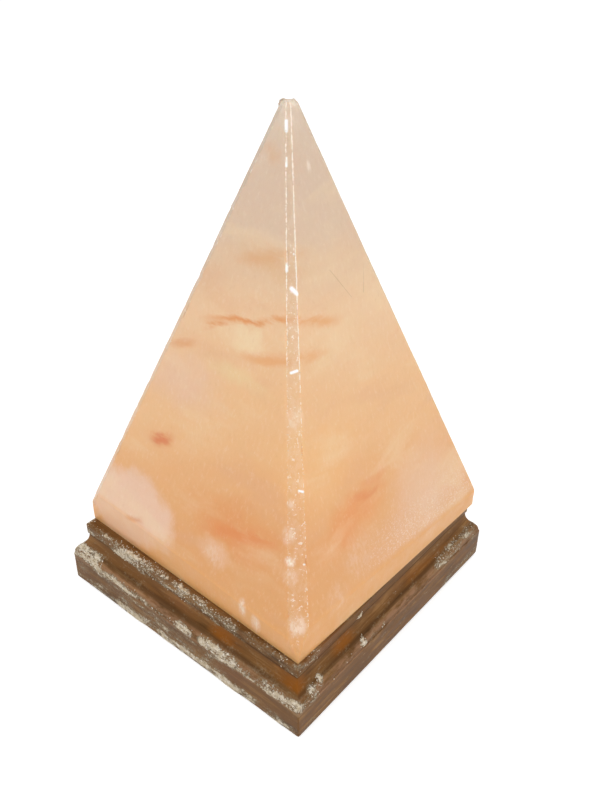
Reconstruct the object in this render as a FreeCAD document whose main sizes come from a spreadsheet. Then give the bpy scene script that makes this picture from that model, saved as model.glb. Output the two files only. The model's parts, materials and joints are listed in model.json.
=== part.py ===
import FreeCAD, Part

# Salt crystal lamp: a ground pyramid of rock salt screwed onto a moulded wooden base.
# A small lamp holder with its bulb is pushed up the bore of the base from below and held
# there by two sprung wings.  The origin is the middle of the base at the height of the
# surface it stands on, +Z is up, and the cord channel leaves the base on the +Y side.
# All lengths are in millimetres and all angles in degrees.

import math
import os
import re

import Sketcher
from FreeCAD import Placement, Rotation, Vector

SIZES = {
    # wooden base, from the foot pads up
    "foot_stand": 1.0,            # how far the pads stand below the wood
    "foot_radius": 8.0,
    "foot_thickness": 2.5,
    "foot_inset": 15.0,           # from the slab's side to a pad's centre
    "base_height": 35.2,
    "slab_side": 145.0,
    "slab_face": 16.0,            # height of the plain vertical face
    "slab_edge_radius": 0.5,
    "bead_step": 0.6,             # how far the bead's foot lies behind the slab's face
    "bead_height": 4.7,
    "bead_lean": 1.8,             # how far the bead's top leans in
    "cove_height": 8.8,
    "quirk": 0.6,                 # how far the cove's top lies behind the ledge's face
    "ledge_inset": 5.9,           # from the slab's side to the ledge's side
    "ledge_edge_radius": 0.8,
    "bore_radius": 21.5,
    "channel_width": 11.0,
    "channel_height": 9.0,
    # screws and plugs that hold the salt on the base
    "screw_inset": 28.5,          # from the slab's side to a screw
    "screw_radius": 2.0,
    "screw_length": 42.0,
    "screw_head_radius": 4.0,
    "screw_head_height": 2.6,
    "screw_slot": 1.0,
    "screw_clearance": 0.3,
    "sink_radius": 5.0,           # counterbore for a screw's head
    "sink_depth": 8.0,
    "plug_radius": 4.0,
    "plug_length": 22.0,
    # salt block
    "salt_margin": 0.5,           # ledge left bare beside the salt, before it is shifted
    "salt_height": 203.7,
    "tip_side": 7.3,
    "tip_bevel": 1.1,
    "edge_facet": 6.0,            # width of the flat ground along the left and the back edge
    "right_facet": 3.5,           # the same along the right edge
    "front_facet_top": 1.9,       # reach of the front edge's flat along the left side, at the tip
    "front_facet_foot": 8.1,      # the same at the foot
    "front_facet_right": 2.8,     # its reach along the right side, halfway up
    "right_band_front": 16.7,     # height of the upright band at each end of each side
    "right_band_back": 7.8,
    "left_band_front": 10.1,
    "left_band_back": 18.0,
    "rear_band": 16.0,
    "far_band": 14.0,
    "salt_turn": -1.5,            # the block sits slightly turned and off centre
    "salt_shift_x": 0.8,
    "salt_shift_y": 3.2,
    "cavity_radius": 22.5,
    "cavity_depth": 108.0,
    "cavity_point": 9.0,          # height of the cone that the drill leaves
    # lamp holder
    "holder_rise": 7.0,           # from the standing surface to the holder's cap
    "holder_radius": 13.5,
    "holder_wall": 1.8,
    "cord_hole_radius": 3.4,
    "cap_foot_radius": 9.0,
    "cap_cone": 6.0,
    "cap_length": 16.0,
    "spigot_length": 4.0,
    "spigot_wall": 1.2,
    "shell_length": 34.0,
    "lip_thickness": 1.8,
    "lip_radius": 8.7,            # opening at the top of the shell
    "fit_gap": 0.2,               # clearance between pieces that slip into each other
    "core_rise": 6.0,             # from the shell's foot to the core's underside
    "core_floor": 6.0,
    "sleeve_inner_radius": 7.05,
    "sleeve_wall": 0.45,
    "sleeve_floor": 0.5,
    "sleeve_hole_radius": 4.6,
    "sleeve_length": 19.4,
    "thread_pitch": 2.822,
    "thread_bead": 0.75,          # radius of one rounded turn of the thread
    "contact_thickness": 0.8,
    "contact_width": 3.6,
    "contact_rise": 2.4,
    "contact_offset": 2.2,        # from the axis to the centre contact's riser
    "side_contact_offset": 5.2,
    "terminal_offset": 7.2,
    "terminal_reach": 9.6,
    "terminal_screw_radius": 1.2,
    "terminal_screw_length": 5.0,
    "terminal_head_radius": 2.2,
    "terminal_head_height": 1.6,
    # spring clip round the holder
    "collar_rise": 23.0,          # from the shell's foot to the collar's underside
    "collar_height": 6.0,
    "collar_thickness": 0.8,
    "collar_gap": 1.8,
    "ear_thickness": 1.6,
    "ear_reach": 19.0,
    "ear_screw_offset": 16.7,
    "ear_screw_radius": 1.25,
    "ear_head_radius": 2.2,
    "ear_head_height": 1.6,
    "nut_width": 4.6,
    "nut_height": 2.0,
    "rivet_radius": 0.9,
    "rivet_head_radius": 1.7,
    "rivet_head_height": 0.7,
    "wing_width": 8.0,
    "wing_thickness": 0.8,
    "wing_gap": 0.5,              # from a wing to the wall of the bore
    "wing_length": 36.5,
    "wing_press": 23.5,           # from the hinge down to the place that presses the bore
    "wing_grip": 30.5,            # from the hinge down to the waist above the finger tab
    "wing_waist": 2.0,            # how far the waist lies inside the pressing place
    "wing_flare": 1.0,            # how far the finger tab turns out again
    # bulb
    "contact_gap": 0.2,
    "turning_gap": 0.05,          # between the tip and the cap, which turns above it
    "tip_radius": 2.4,
    "tip_height": 0.9,
    "vitrite_radius": 3.6,
    "vitrite_height": 2.5,
    "cap_thread_radius": 6.15,    # root of the cap's thread
    "cap_wall": 0.4,
    "cap_thread_length": 14.0,
    "cap_skirt_length": 6.0,
    "cap_skirt_radius": 8.2,
    "glass_inset": 2.0,
    "glass_wall": 0.7,
    "glass_neck_length": 3.0,
    "glass_radius": 12.5,
    "glass_shoulder": 7.0,
    "glass_length": 37.0,
    "stem_length": 13.0,
    "stem_waist_radius": 2.6,
    "press_height": 5.0,
    "press_thickness": 2.6,
    "wire_radius": 0.35,
    "lead_spread": 4.0,
    "lead_length": 11.0,
    "filament_radius": 0.5,
}

FULL_TURN = 360
LEFT, RIGHT = 1, -1               # the side of its direction on which an arc has its centre

# levels and half sizes that several pieces share, as formulas of the sizes above
WOOD_LOW = "foot_stand"
WOOD_TOP = "(foot_stand + base_height)"
SLAB = "(slab_side / 2)"
LEDGE = "(slab_side / 2 - ledge_inset)"
HEAD_LOW = "(foot_stand + sink_depth)"
CAP_TOP = "(holder_rise + cap_length)"
SHELL_TOP = f"({CAP_TOP} + shell_length)"
CORE_LOW = f"({CAP_TOP} + core_rise)"
SEAT = f"({CORE_LOW} + core_floor)"
COLLAR_LOW = f"({CAP_TOP} + collar_rise)"
COLLAR_MIDDLE = f"({COLLAR_LOW} + collar_height / 2)"
COLLAR_RADIUS = "(holder_radius + collar_thickness)"
BULB_LOW = f"({SEAT} + contact_rise + contact_gap)"
VITRITE_LOW = f"({BULB_LOW} + tip_height + turning_gap)"
CAP_LOW = f"({VITRITE_LOW} + vitrite_height)"
SKIRT_LOW = f"({CAP_LOW} + cap_thread_length)"
SKIRT_TOP = f"({SKIRT_LOW} + cap_skirt_length)"
GLASS_LOW = f"({SKIRT_TOP} - glass_inset)"
GLASS_TOP = f"({GLASS_LOW} + glass_length)"
STEM_TOP = f"({GLASS_LOW} + stem_length)"
GLASS_NECK = "(cap_skirt_radius - cap_wall)"
FILAMENT_LEVEL = f"({STEM_TOP} + lead_length)"

document = FreeCAD.newDocument("salt_crystal_lamp")
sheet = document.addObject("Spreadsheet::Sheet", "Sizes")
for row, (alias, size) in enumerate(SIZES.items(), start=1):
    sheet.set(f"A{row}", alias)
    sheet.set(f"B{row}", str(size))
    sheet.setAlias(f"B{row}", alias)
document.recompute()

subparts = []


# ---------------------------------------------------------------- formulas and placing

def linked(formula):
    """Return a formula in which every size's name points at its cell in the sheet."""
    def point_at_cell(word):
        return f"Sizes.{word[0]}" if word[0] in SIZES else word[0]
    return re.sub(r"[a-z_]+", point_at_cell, formula)


def value(formula):
    """Return what a formula of the sizes comes to."""
    return float(sheet.evalExpression(formula))


def bind(item, **formulas):
    """Bind properties of an object to formulas of the sizes."""
    for name, formula in formulas.items():
        item.setExpression(name, linked(formula))


def place(item, x="0", y="0", z="0", rotation=None):
    """Bind an object's position to formulas, after turning it if a rotation is given."""
    if rotation is not None:
        item.Placement = Placement(Vector(), rotation)
    for axis, formula in zip("xyz", (x, y, z)):
        item.setExpression(f"Placement.Base.{axis}", linked(formula))
    return item


def finished(item, label):
    """Give a finished sub-part its own name and keep it for the check and the export."""
    item.Label = label
    subparts.append(item)
    return item


# ---------------------------------------------------------------- solids and booleans

ALONG_X = Rotation(Vector(0, 1, 0), 90)


def cylinder(name, radius, height, x="0", y="0", z="0", rotation=None):
    item = document.addObject("Part::Cylinder", name)
    bind(item, Radius=radius, Height=height)
    return place(item, x, y, z, rotation)


def cone(name, low_radius, top_radius, height, x="0", y="0", z="0"):
    item = document.addObject("Part::Cone", name)
    bind(item, Radius1=low_radius, Radius2=top_radius, Height=height)
    return place(item, x, y, z)


def torus(name, ring_radius, wire_radius, z):
    item = document.addObject("Part::Torus", name)
    bind(item, Radius1=ring_radius, Radius2=wire_radius)
    return place(item, z=z)


def box(name, x, y, z):
    """A box between two formulas on each axis."""
    item = document.addObject("Part::Box", name)
    bind(item, Length=f"({x[1]}) - ({x[0]})", Width=f"({y[1]}) - ({y[0]})", Height=f"({z[1]}) - ({z[0]})")
    return place(item, x[0], y[0], z[0])


def centred_box(name, width, depth, z):
    """A box that is centred on the axis."""
    return box(name, (f"-({width}) / 2", f"({width}) / 2"), (f"-({depth}) / 2", f"({depth}) / 2"), z)


def fuse(name, *pieces):
    item = document.addObject("Part::MultiFuse", name)
    item.Shapes = list(pieces)
    return item


def cut(name, base, *tools):
    item = document.addObject("Part::Cut", name)
    item.Base = base
    item.Tool = tools[0] if len(tools) == 1 else fuse(f"{name}_tools", *tools)
    return item


def tube(name, outer_radius, inner_radius, low, height):
    return cut(name, cylinder(f"{name}_outside", outer_radius, height, z=low),
               cylinder(f"{name}_inside", inner_radius, height, z=low))


def group(name, pieces):
    """Separate solids that are the same piece over again, kept in one sub-part."""
    item = document.addObject("Part::Compound", name)
    item.Links = pieces
    return item


# ---------------------------------------------------------------- sketches and bodies

def arc_between(start, end, radius, side):
    """The arc of that radius from start to end, with its centre on that side of its way."""
    chord = end - start
    radius = max(radius, chord.Length / 2)
    across = Vector(-chord.y, chord.x, 0).normalize() * side
    height = math.sqrt(max(radius ** 2 - (chord.Length / 2) ** 2, 0))
    centre = (start + end) / 2 + across * height
    middle = centre - across * radius
    return Part.Arc(start, middle, end)


def fix_start(sketch, edge, end, number, corner):
    """Bind the point where an edge starts to its two formulas, measured from the origin."""
    for kind, axis, formula in (("DistanceX", -2, corner[0]), ("DistanceY", -1, corner[1])):
        if formula == "0":
            sketch.addConstraint(Sketcher.Constraint("PointOnObject", edge, end, axis))
            continue
        name = f"{kind}_{number}"
        constraint = Sketcher.Constraint(kind, -1, 1, edge, end, value(formula))
        sketch.renameConstraint(sketch.addConstraint(constraint), name)
        sketch.setExpression(f"Constraints.{name}", linked(formula))


def outline(body, name, plane, corners):
    """A closed sketch through corners (x, y) or (x, y, radius, side).

    A corner with a radius starts an arc to the next corner, and any other starts a line.
    """
    sketch = body.newObject("Sketcher::SketchObject", name)
    support = next(item for item in body.Origin.OriginFeatures if item.Role == plane)
    sketch.AttachmentSupport = [(support, "")]
    sketch.MapMode = "FlatFace"
    points = [Vector(value(corner[0]), value(corner[1]), 0) for corner in corners]
    edges = []
    for number, corner in enumerate(corners):
        start, end = points[number], points[(number + 1) % len(points)]
        if len(corner) > 2:
            edge = arc_between(start, end, value(corner[2]), corner[3])
        else:
            edge = Part.LineSegment(start, end)
        edges.append(sketch.addGeometry(edge, False))
    # the sketch stores every arc counter-clockwise, so one with its centre on the right is reversed
    ends = [(2, 1) if len(corner) > 2 and corner[3] == RIGHT else (1, 2) for corner in corners]
    for number, edge in enumerate(edges):
        following = (number + 1) % len(edges)
        sketch.addConstraint(Sketcher.Constraint(
            "Coincident", edge, ends[number][1], edges[following], ends[following][0]))
    for number, (edge, corner) in enumerate(zip(edges, corners)):
        fix_start(sketch, edge, ends[number][0], number, corner)
        if len(corner) > 2:
            name = f"Radius_{number}"
            constraint = Sketcher.Constraint("Radius", edge, value(corner[2]))
            sketch.renameConstraint(sketch.addConstraint(constraint), name)
            sketch.setExpression(f"Constraints.{name}", linked(corner[2]))
    return sketch


def revolved(name, corners):
    """A body turned round the Z axis from an outline of radii and levels."""
    body = document.addObject("PartDesign::Body", name)
    turn = body.newObject("PartDesign::Revolution", f"{name}_turn")
    turn.Profile = outline(body, f"{name}_outline", "XZ_Plane", corners)
    turn.ReferenceAxis = (turn.Profile[0], ["V_Axis"])
    turn.Angle = FULL_TURN
    body.Tip = turn
    return body


def extruded(name, plane, corners, length):
    """A body padded from an outline equally to both sides of its plane."""
    body = document.addObject("PartDesign::Body", name)
    sketch = outline(body, f"{name}_outline", plane, corners)
    pad = body.newObject("PartDesign::Pad", f"{name}_pad")
    pad.Profile = sketch
    pad.Midplane = True
    bind(pad, Length=length)
    body.Tip = pad
    return body


# ---------------------------------------------------------------- wooden base

def moulding():
    """The base's outline from its edge at the bottom up the right side, then down the left."""
    step_level = f"{WOOD_LOW} + slab_face"
    bead_top = f"{step_level} + bead_height"
    cove_top = f"{bead_top} + cove_height"
    bead_foot = f"{SLAB} - bead_step"
    bead_head = f"{SLAB} - bead_step - bead_lean"
    cove_head = f"{LEDGE} - quirk"
    sweep = f"({SLAB} - bead_step - bead_lean - {LEDGE} + quirk)"
    bead_radius = "(bead_lean ^ 2 + bead_height ^ 2) / (2 * bead_lean)"
    cove_radius = f"({sweep} ^ 2 + cove_height ^ 2) / (2 * {sweep})"
    right = [
        (f"{SLAB} - slab_edge_radius", WOOD_LOW, "slab_edge_radius", LEFT),
        (SLAB, f"{WOOD_LOW} + slab_edge_radius"),
        (SLAB, step_level),
        (bead_foot, step_level, bead_radius, LEFT),
        (bead_head, bead_top, cove_radius, RIGHT),
        (cove_head, cove_top),
        (LEDGE, cove_top),
        (LEDGE, f"{WOOD_TOP} - ledge_edge_radius", "ledge_edge_radius", LEFT),
        (f"{LEDGE} - ledge_edge_radius", WOOD_TOP),
    ]
    left = []
    for number in reversed(range(len(right))):
        arc_back = right[number - 1][2:] if number else ()
        left.append((f"-({right[number][0]})", right[number][1], *arc_back))
    return right + left


def screw_places():
    """The four corners of the base, as the signs of X and Y."""
    return [(x, y) for x in (-1, 1) for y in (-1, 1)]


def at_screw(sign):
    return f"{sign} * ({SLAB} - screw_inset)"


def at_foot(sign):
    return f"{sign} * ({SLAB} - foot_inset)"


def build_wooden_base():
    blank = document.addObject("Part::Common", "base_blank")
    blank.Base = extruded("base_moulded_in_x", "XZ_Plane", moulding(), "slab_side")
    blank.Tool = extruded("base_moulded_in_y", "YZ_Plane", moulding(), "slab_side")
    tools = [
        cylinder("base_bore", "bore_radius", "base_height", z=WOOD_LOW),
        box("cord_channel", ("-channel_width / 2", "channel_width / 2"), ("0", SLAB),
            (WOOD_LOW, f"{WOOD_LOW} + channel_height")),
    ]
    for x, y in screw_places():
        tools.append(cylinder("screw_hole", "screw_radius + screw_clearance", "base_height",
                              at_screw(x), at_screw(y), WOOD_LOW))
        tools.append(cylinder("screw_sink", "sink_radius", "sink_depth", at_screw(x), at_screw(y), WOOD_LOW))
        tools.append(cylinder("foot_seat", "foot_radius", "foot_thickness - foot_stand",
                              at_foot(x), at_foot(y), WOOD_LOW))
    finished(cut("base_cut", blank, *tools), "wooden_base")


def build_foot_pads():
    names = ("front_left", "back_left", "front_right", "back_right")
    for name, (x, y) in zip(names, screw_places()):
        pad = cylinder(f"pad_{name}", "foot_radius", "foot_thickness", at_foot(x), at_foot(y))
        finished(pad, f"foot_pad_{name}")


def build_block_screws():
    screws = []
    for x, y in screw_places():
        here = at_screw(x), at_screw(y)
        solid = fuse(
            "screw_solid",
            cylinder("screw_head", "screw_head_radius", "screw_head_height", *here,
                     f"{HEAD_LOW} - screw_head_height"),
            cylinder("screw_shank", "screw_radius", "screw_length - 2 * screw_radius", *here, HEAD_LOW),
            cone("screw_point", "screw_radius", "screw_radius / 8", "2 * screw_radius", *here,
                 f"{HEAD_LOW} + screw_length - 2 * screw_radius"))
        slots = []
        for long_x, long_y in ((1, 0), (0, 1)):
            half_x = f"(screw_slot / 2 + {long_x} * screw_radius)"
            half_y = f"(screw_slot / 2 + {long_y} * screw_radius)"
            slots.append(box("screw_cross", (f"{here[0]} - {half_x}", f"{here[0]} + {half_x}"),
                             (f"{here[1]} - {half_y}", f"{here[1]} + {half_y}"),
                             (f"{HEAD_LOW} - screw_head_height", f"{HEAD_LOW} - screw_head_height / 2")))
        screws.append(cut("screw", solid, *slots))
    finished(group("screw_group", screws), "block_screws")


def build_wall_plugs():
    plugs = []
    for x, y in screw_places():
        here = at_screw(x), at_screw(y)
        outside = cylinder("plug_outside", "plug_radius", "plug_length", *here, WOOD_TOP)
        hole = cylinder("plug_hole", "screw_radius + screw_clearance / 4", "plug_length", *here, WOOD_TOP)
        plugs.append(cut("plug", outside, hole))
    finished(group("plug_group", plugs), "wall_plugs")


# ---------------------------------------------------------------- salt block

def plane_through(first, second, third):
    """The plane through three points as its first point and its outward normal."""
    normal = (second - first).cross(third - first).normalize()
    outward = Vector(first.x + second.x, first.y + second.y, 0)
    return first, normal if normal.dot(outward) > 0 else -normal


def ground(block, point, normal):
    """Grind a block flat: a wide disc takes off all that lies beyond the plane."""
    reach = 4 * value("salt_height")
    return block.cut(Part.makeCylinder(reach, reach, point, normal))


def edge_point(first, second, level):
    """The point at that level on the line where two planes meet."""
    (p, n), (q, m) = first, second
    a, b = n.dot(p) - n.z * level, m.dot(q) - m.z * level
    bottom = n.x * m.y - n.y * m.x
    return Vector((a * m.y - b * n.y) / bottom, (n.x * b - m.x * a) / bottom, level)


def level_along(side, other):
    """The level direction along one slanted plane, away from the edge where it meets the other."""
    direction = side[1].cross(Vector(0, 0, 1)).normalize()
    return direction if direction.dot(other[1]) < 0 else -direction


def even_facet(before, after, height, width):
    """The plane that grinds a flat of an even width along the edge of two slanted planes."""
    normal = (before[1] + after[1]).normalize()
    depth = width / 2 * math.tan(before[1].getAngle(after[1]) / 2)
    return edge_point(before, after, height) - normal * depth, normal


def front_facet(before, after, height):
    """The plane of the front edge's flat, ground by eye so that it widens towards the foot."""
    along_left, along_right = level_along(before, after), level_along(after, before)
    return plane_through(
        edge_point(before, after, height) + along_left * value("front_facet_top"),
        edge_point(before, after, 0) + along_left * value("front_facet_foot"),
        edge_point(before, after, height / 2) + along_right * value("front_facet_right"))


def ground_block():
    """The block's outside, centred on its own axis and standing on its own underside.

    Four planes slant from the upright band to the small square tip, and a narrow facet
    takes off each edge between two of them.
    """
    half, height, tip = value(f"{LEDGE} - salt_margin"), value("salt_height"), value("tip_side / 2")
    sides = (
        ((1, -1), (1, 1), value("right_band_front"), value("right_band_back")),
        ((1, 1), (-1, 1), value("rear_band"), value("rear_band")),
        ((-1, 1), (-1, -1), value("far_band"), value("far_band")),
        ((-1, -1), (1, -1), value("left_band_back"), value("left_band_front")),
    )
    slants = []
    for start, end, start_band, end_band in sides:
        middle_of_tip = Vector((start[0] + end[0]) * tip / 2, (start[1] + end[1]) * tip / 2, height)
        slants.append(plane_through(Vector(start[0] * half, start[1] * half, start_band),
                                    Vector(end[0] * half, end[1] * half, end_band), middle_of_tip))
    block = Part.makeBox(2 * half, 2 * half, height, Vector(-half, -half, 0))
    for point, normal in slants:
        block = ground(block, point, normal)
    right, rear, far, left = slants
    facets = [
        front_facet(left, right, height),
        even_facet(right, rear, height, value("right_facet")),
        even_facet(rear, far, height, value("edge_facet")),
        even_facet(far, left, height, value("edge_facet")),
    ]
    for point, normal in facets:
        block = ground(block, point, normal)
    for _, normal in slants:
        outward = Vector(normal.x, normal.y, 0).normalize()
        rim = outward * (tip - value("tip_bevel")) + Vector(0, 0, height)
        block = ground(block, rim, outward + Vector(0, 0, 1))
    return block


def build_salt():
    blank = document.addObject("Part::Feature", "salt_blank")
    blank.Shape = ground_block()
    turned = Rotation(Vector(0, 0, 1), value("salt_turn"))
    blank.Placement = Placement(Vector(value("salt_shift_x"), value("salt_shift_y"), value(WOOD_TOP)), turned)
    tools = [
        cylinder("cavity", "cavity_radius", "cavity_depth", z=WOOD_TOP),
        cone("cavity_end", "cavity_radius", "cavity_radius / 10", "cavity_point",
             z=f"{WOOD_TOP} + cavity_depth"),
    ]
    for x, y in screw_places():
        tools.append(cylinder("plug_seat", "plug_radius", "plug_length", at_screw(x), at_screw(y), WOOD_TOP))
    finished(cut("salt_cut", blank, *tools), "salt_pyramid")


# ---------------------------------------------------------------- lamp holder

def build_holder_housing():
    inner = "(holder_radius - holder_wall)"
    cap = revolved("holder_lower", [
        ("cord_hole_radius", "holder_rise"),
        ("cap_foot_radius", "holder_rise"),
        ("holder_radius", "holder_rise + cap_cone"),
        ("holder_radius", CAP_TOP),
        (inner, CAP_TOP),
        (inner, "holder_rise + cap_cone + holder_wall / 2"),
        ("cap_foot_radius - holder_wall / 2", "holder_rise + holder_wall"),
        ("cord_hole_radius", "holder_rise + holder_wall"),
    ])
    finished(cap, "holder_cap")
    spigot = f"({inner} - fit_gap / 4)"
    shell = revolved("holder_upper", [
        (f"{spigot} - spigot_wall", f"{CAP_TOP} - spigot_length"),
        (spigot, f"{CAP_TOP} - spigot_length"),
        (spigot, CAP_TOP),
        ("holder_radius", CAP_TOP),
        ("holder_radius", f"{SHELL_TOP} - lip_thickness / 2", "lip_thickness / 2", LEFT),
        ("holder_radius - lip_thickness / 2", SHELL_TOP),
        ("lip_radius", SHELL_TOP),
        ("lip_radius", f"{SHELL_TOP} - lip_thickness"),
        (inner, f"{SHELL_TOP} - lip_thickness"),
        (inner, CORE_LOW),
        (f"{spigot} - spigot_wall", CORE_LOW),
    ])
    finished(shell, "holder_shell")


def build_holder_core():
    bowl_radius = "(sleeve_inner_radius + sleeve_wall + thread_bead / 2 + fit_gap)"
    core_radius = "(holder_radius - holder_wall - fit_gap)"
    core_height = f"({SHELL_TOP} - lip_thickness - fit_gap - {CORE_LOW})"
    tools = [cylinder("core_bowl", bowl_radius, core_height, z=SEAT)]
    half_slot = "contact_thickness / 2 + fit_gap / 4"
    half_width = "(contact_width / 2 + fit_gap / 4)"
    for sign, offset in ((1, "contact_offset"), (-1, "side_contact_offset")):
        across = f"{sign} * {offset} - ({half_slot})", f"{sign} * {offset} + {half_slot}"
        tools.append(box("contact_slot", across, (f"-{half_width}", half_width), (CORE_LOW, SEAT)))
        tools.append(cylinder("terminal_hole", "terminal_screw_radius + fit_gap / 4",
                              "terminal_screw_length + fit_gap", f"{sign} * terminal_offset", z=CORE_LOW))
    blank = cylinder("core_blank", core_radius, core_height, z=CORE_LOW)
    finished(cut("core_cut", blank, *tools), "holder_core")


def thread_beads(name, ring_radius, low, length):
    """One rounded bead for each turn of a thread that fits in the given length."""
    turns = int(value(length) / value("thread_pitch"))
    return [torus(name, ring_radius, "thread_bead", f"{low} + (0.5 + {turn}) * thread_pitch")
            for turn in range(turns)]


def build_thread_sleeve():
    outer = "(sleeve_inner_radius + sleeve_wall)"
    wall = cylinder("sleeve_outside", outer, "sleeve_length", z=SEAT)
    beads = thread_beads("sleeve_bead", f"({outer} - thread_bead / 2)", f"({SEAT} + sleeve_floor)",
                         "(sleeve_length - sleeve_floor)")
    tools = [
        cylinder("sleeve_inside", "sleeve_inner_radius", "sleeve_length", z=f"{SEAT} + sleeve_floor"),
        cylinder("sleeve_hole", "sleeve_hole_radius", "sleeve_length", z=SEAT),
    ]
    finished(cut("sleeve_cut", fuse("sleeve_solid", wall, *beads), *tools), "thread_sleeve")


def terminal(name, sign, offset, leaf):
    """A contact strip: a plate under the core, a riser through it and what lies above."""
    plate = box(f"{name}_plate", (f"{sign} * {offset} - contact_thickness / 2",
                                  "terminal_reach") if sign > 0 else
                ("-terminal_reach", f"{sign} * {offset} + contact_thickness / 2"),
                ("-contact_width / 2", "contact_width / 2"), (f"{CORE_LOW} - contact_thickness", CORE_LOW))
    riser = box(f"{name}_riser", (f"{sign} * {offset} - contact_thickness / 2",
                                  f"{sign} * {offset} + contact_thickness / 2"),
                ("-contact_width / 2", "contact_width / 2"), (f"{CORE_LOW} - contact_thickness", SEAT))
    strip = fuse(f"{name}_strip", plate, riser, *leaf)
    hole = cylinder(f"{name}_hole", "terminal_screw_radius + fit_gap / 4", "contact_thickness",
                    f"{sign} * terminal_offset", z=f"{CORE_LOW} - contact_thickness")
    return cut(f"{name}_contact", strip, hole)


def build_contacts():
    leaf_low = f"({SEAT} + contact_rise - contact_thickness)"
    leaf_top = f"({SEAT} + contact_rise)"
    near, far = "contact_offset + contact_thickness / 2", "-contact_offset"
    leaf = extruded("centre_leaf", "XZ_Plane", [
        (near, SEAT),
        (near, f"{SEAT} + contact_thickness"),
        ("-contact_offset / 3", leaf_top),
        (far, leaf_top),
        (far, leaf_low),
        ("-contact_offset / 3", leaf_low),
        ("contact_offset - contact_thickness / 2", SEAT),
    ], "contact_width")
    finished(terminal("centre", 1, "contact_offset", [leaf]), "centre_contact")
    finished(terminal("side", -1, "side_contact_offset", []), "sleeve_contact")
    screws = []
    for sign in (-1, 1):
        x = f"{sign} * terminal_offset"
        head_low = f"{CORE_LOW} - contact_thickness - terminal_head_height"
        solid = fuse("terminal_screw_solid",
                     cylinder("terminal_head", "terminal_head_radius", "terminal_head_height", x, z=head_low),
                     cylinder("terminal_shank", "terminal_screw_radius", "terminal_screw_length", x,
                              z=f"{CORE_LOW} - contact_thickness"))
        slot = box("terminal_slot", (f"{x} - terminal_head_radius", f"{x} + terminal_head_radius"),
                   ("-terminal_head_height / 4", "terminal_head_height / 4"),
                   (head_low, f"{head_low} + terminal_head_height / 2"))
        screws.append(cut("terminal_screw", solid, slot))
    finished(group("terminal_screw_group", screws), "terminal_screws")


# ---------------------------------------------------------------- spring clip

HINGE_X = f"({COLLAR_RADIUS} + collar_thickness / 2)"
HINGE_LEVEL = f"({COLLAR_LOW} - wing_thickness / 2 - fit_gap / 2)"


def build_clip_collar():
    ring = tube("collar_ring", COLLAR_RADIUS, "holder_radius", COLLAR_LOW, "collar_height")
    levels = (COLLAR_LOW, f"{COLLAR_LOW} + collar_height")
    ears = []
    for sign in (-1, 1):
        near, far = f"{sign} * collar_gap / 2", f"{sign} * (collar_gap / 2 + ear_thickness)"
        across = (near, far) if sign > 0 else (far, near)
        depth = "-ear_reach", "-holder_radius - collar_thickness / 4"
        ears.append(box("collar_ear", across, depth, levels))
    tabs = []
    for sign in (-1, 1):
        near = f"{sign} * (holder_radius + collar_thickness / 2)"
        far = f"{sign} * ({HINGE_X} + wing_thickness / 2)"
        along = (near, far) if sign > 0 else (far, near)
        tabs.append(box("collar_tab", along, ("-wing_width / 2", "wing_width / 2"), levels))
    gap = box("collar_slit", ("-collar_gap / 2", "collar_gap / 2"), ("-ear_reach", "-holder_radius / 2"),
              levels)
    screw_hole = cylinder("ear_hole", "ear_screw_radius + fit_gap / 4", "2 * ear_reach", "-ear_reach",
                          "-ear_screw_offset", COLLAR_MIDDLE, ALONG_X)
    rivet_holes = cylinder("rivet_holes", "rivet_radius + fit_gap / 4", "2 * ear_reach", "-ear_reach",
                           z=COLLAR_MIDDLE, rotation=ALONG_X)
    solid = fuse("collar_solid", ring, *ears, *tabs)
    finished(cut("collar_cut", solid, gap, screw_hole, rivet_holes), "clip_collar")


def build_collar_fasteners():
    side = "(collar_gap / 2 + ear_thickness)"
    head = cylinder("ear_screw_head", "ear_head_radius", "ear_head_height", side, "-ear_screw_offset",
                    COLLAR_MIDDLE, ALONG_X)
    shank = cylinder("ear_screw_shank", "ear_screw_radius", f"2 * {side} + nut_height + ear_screw_radius",
                     f"-{side} - nut_height - ear_screw_radius", "-ear_screw_offset", COLLAR_MIDDLE, ALONG_X)
    slot = box("ear_screw_slot", (f"{side} + ear_head_height / 2", f"{side} + ear_head_height"),
               ("-ear_screw_offset - ear_head_radius", "-ear_screw_offset + ear_head_radius"),
               (f"{COLLAR_MIDDLE} - ear_head_height / 4", f"{COLLAR_MIDDLE} + ear_head_height / 4"))
    finished(cut("ear_screw", fuse("ear_screw_solid", head, shank), slot), "collar_screw")
    hexagon = document.addObject("Part::Prism", "nut_hexagon")
    hexagon.Polygon = 6
    bind(hexagon, Circumradius="nut_width / (2 * cos(30))", Height="nut_height")
    place(hexagon, f"-{side} - nut_height", "-ear_screw_offset", COLLAR_MIDDLE, ALONG_X)
    thread = cylinder("nut_thread", "ear_screw_radius + fit_gap / 4", "nut_height", f"-{side} - nut_height",
                      "-ear_screw_offset", COLLAR_MIDDLE, ALONG_X)
    finished(cut("nut", hexagon, thread), "collar_nut")
    rivets = []
    for sign in (-1, 1):
        face = f"({HINGE_X} + wing_thickness / 2)"
        inside = "(holder_radius + fit_gap / 2)"
        head_x = face if sign > 0 else f"-{face} - rivet_head_height"
        shank_x = inside if sign > 0 else f"-{face}"
        rivets.append(fuse(
            "rivet",
            cylinder("rivet_head", "rivet_head_radius", "rivet_head_height", head_x, z=COLLAR_MIDDLE,
                     rotation=ALONG_X),
            cylinder("rivet_shank", "rivet_radius", f"{face} - {inside}", shank_x, z=COLLAR_MIDDLE,
                     rotation=ALONG_X)))
    finished(group("rivet_group", rivets), "wing_rivets")


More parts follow.
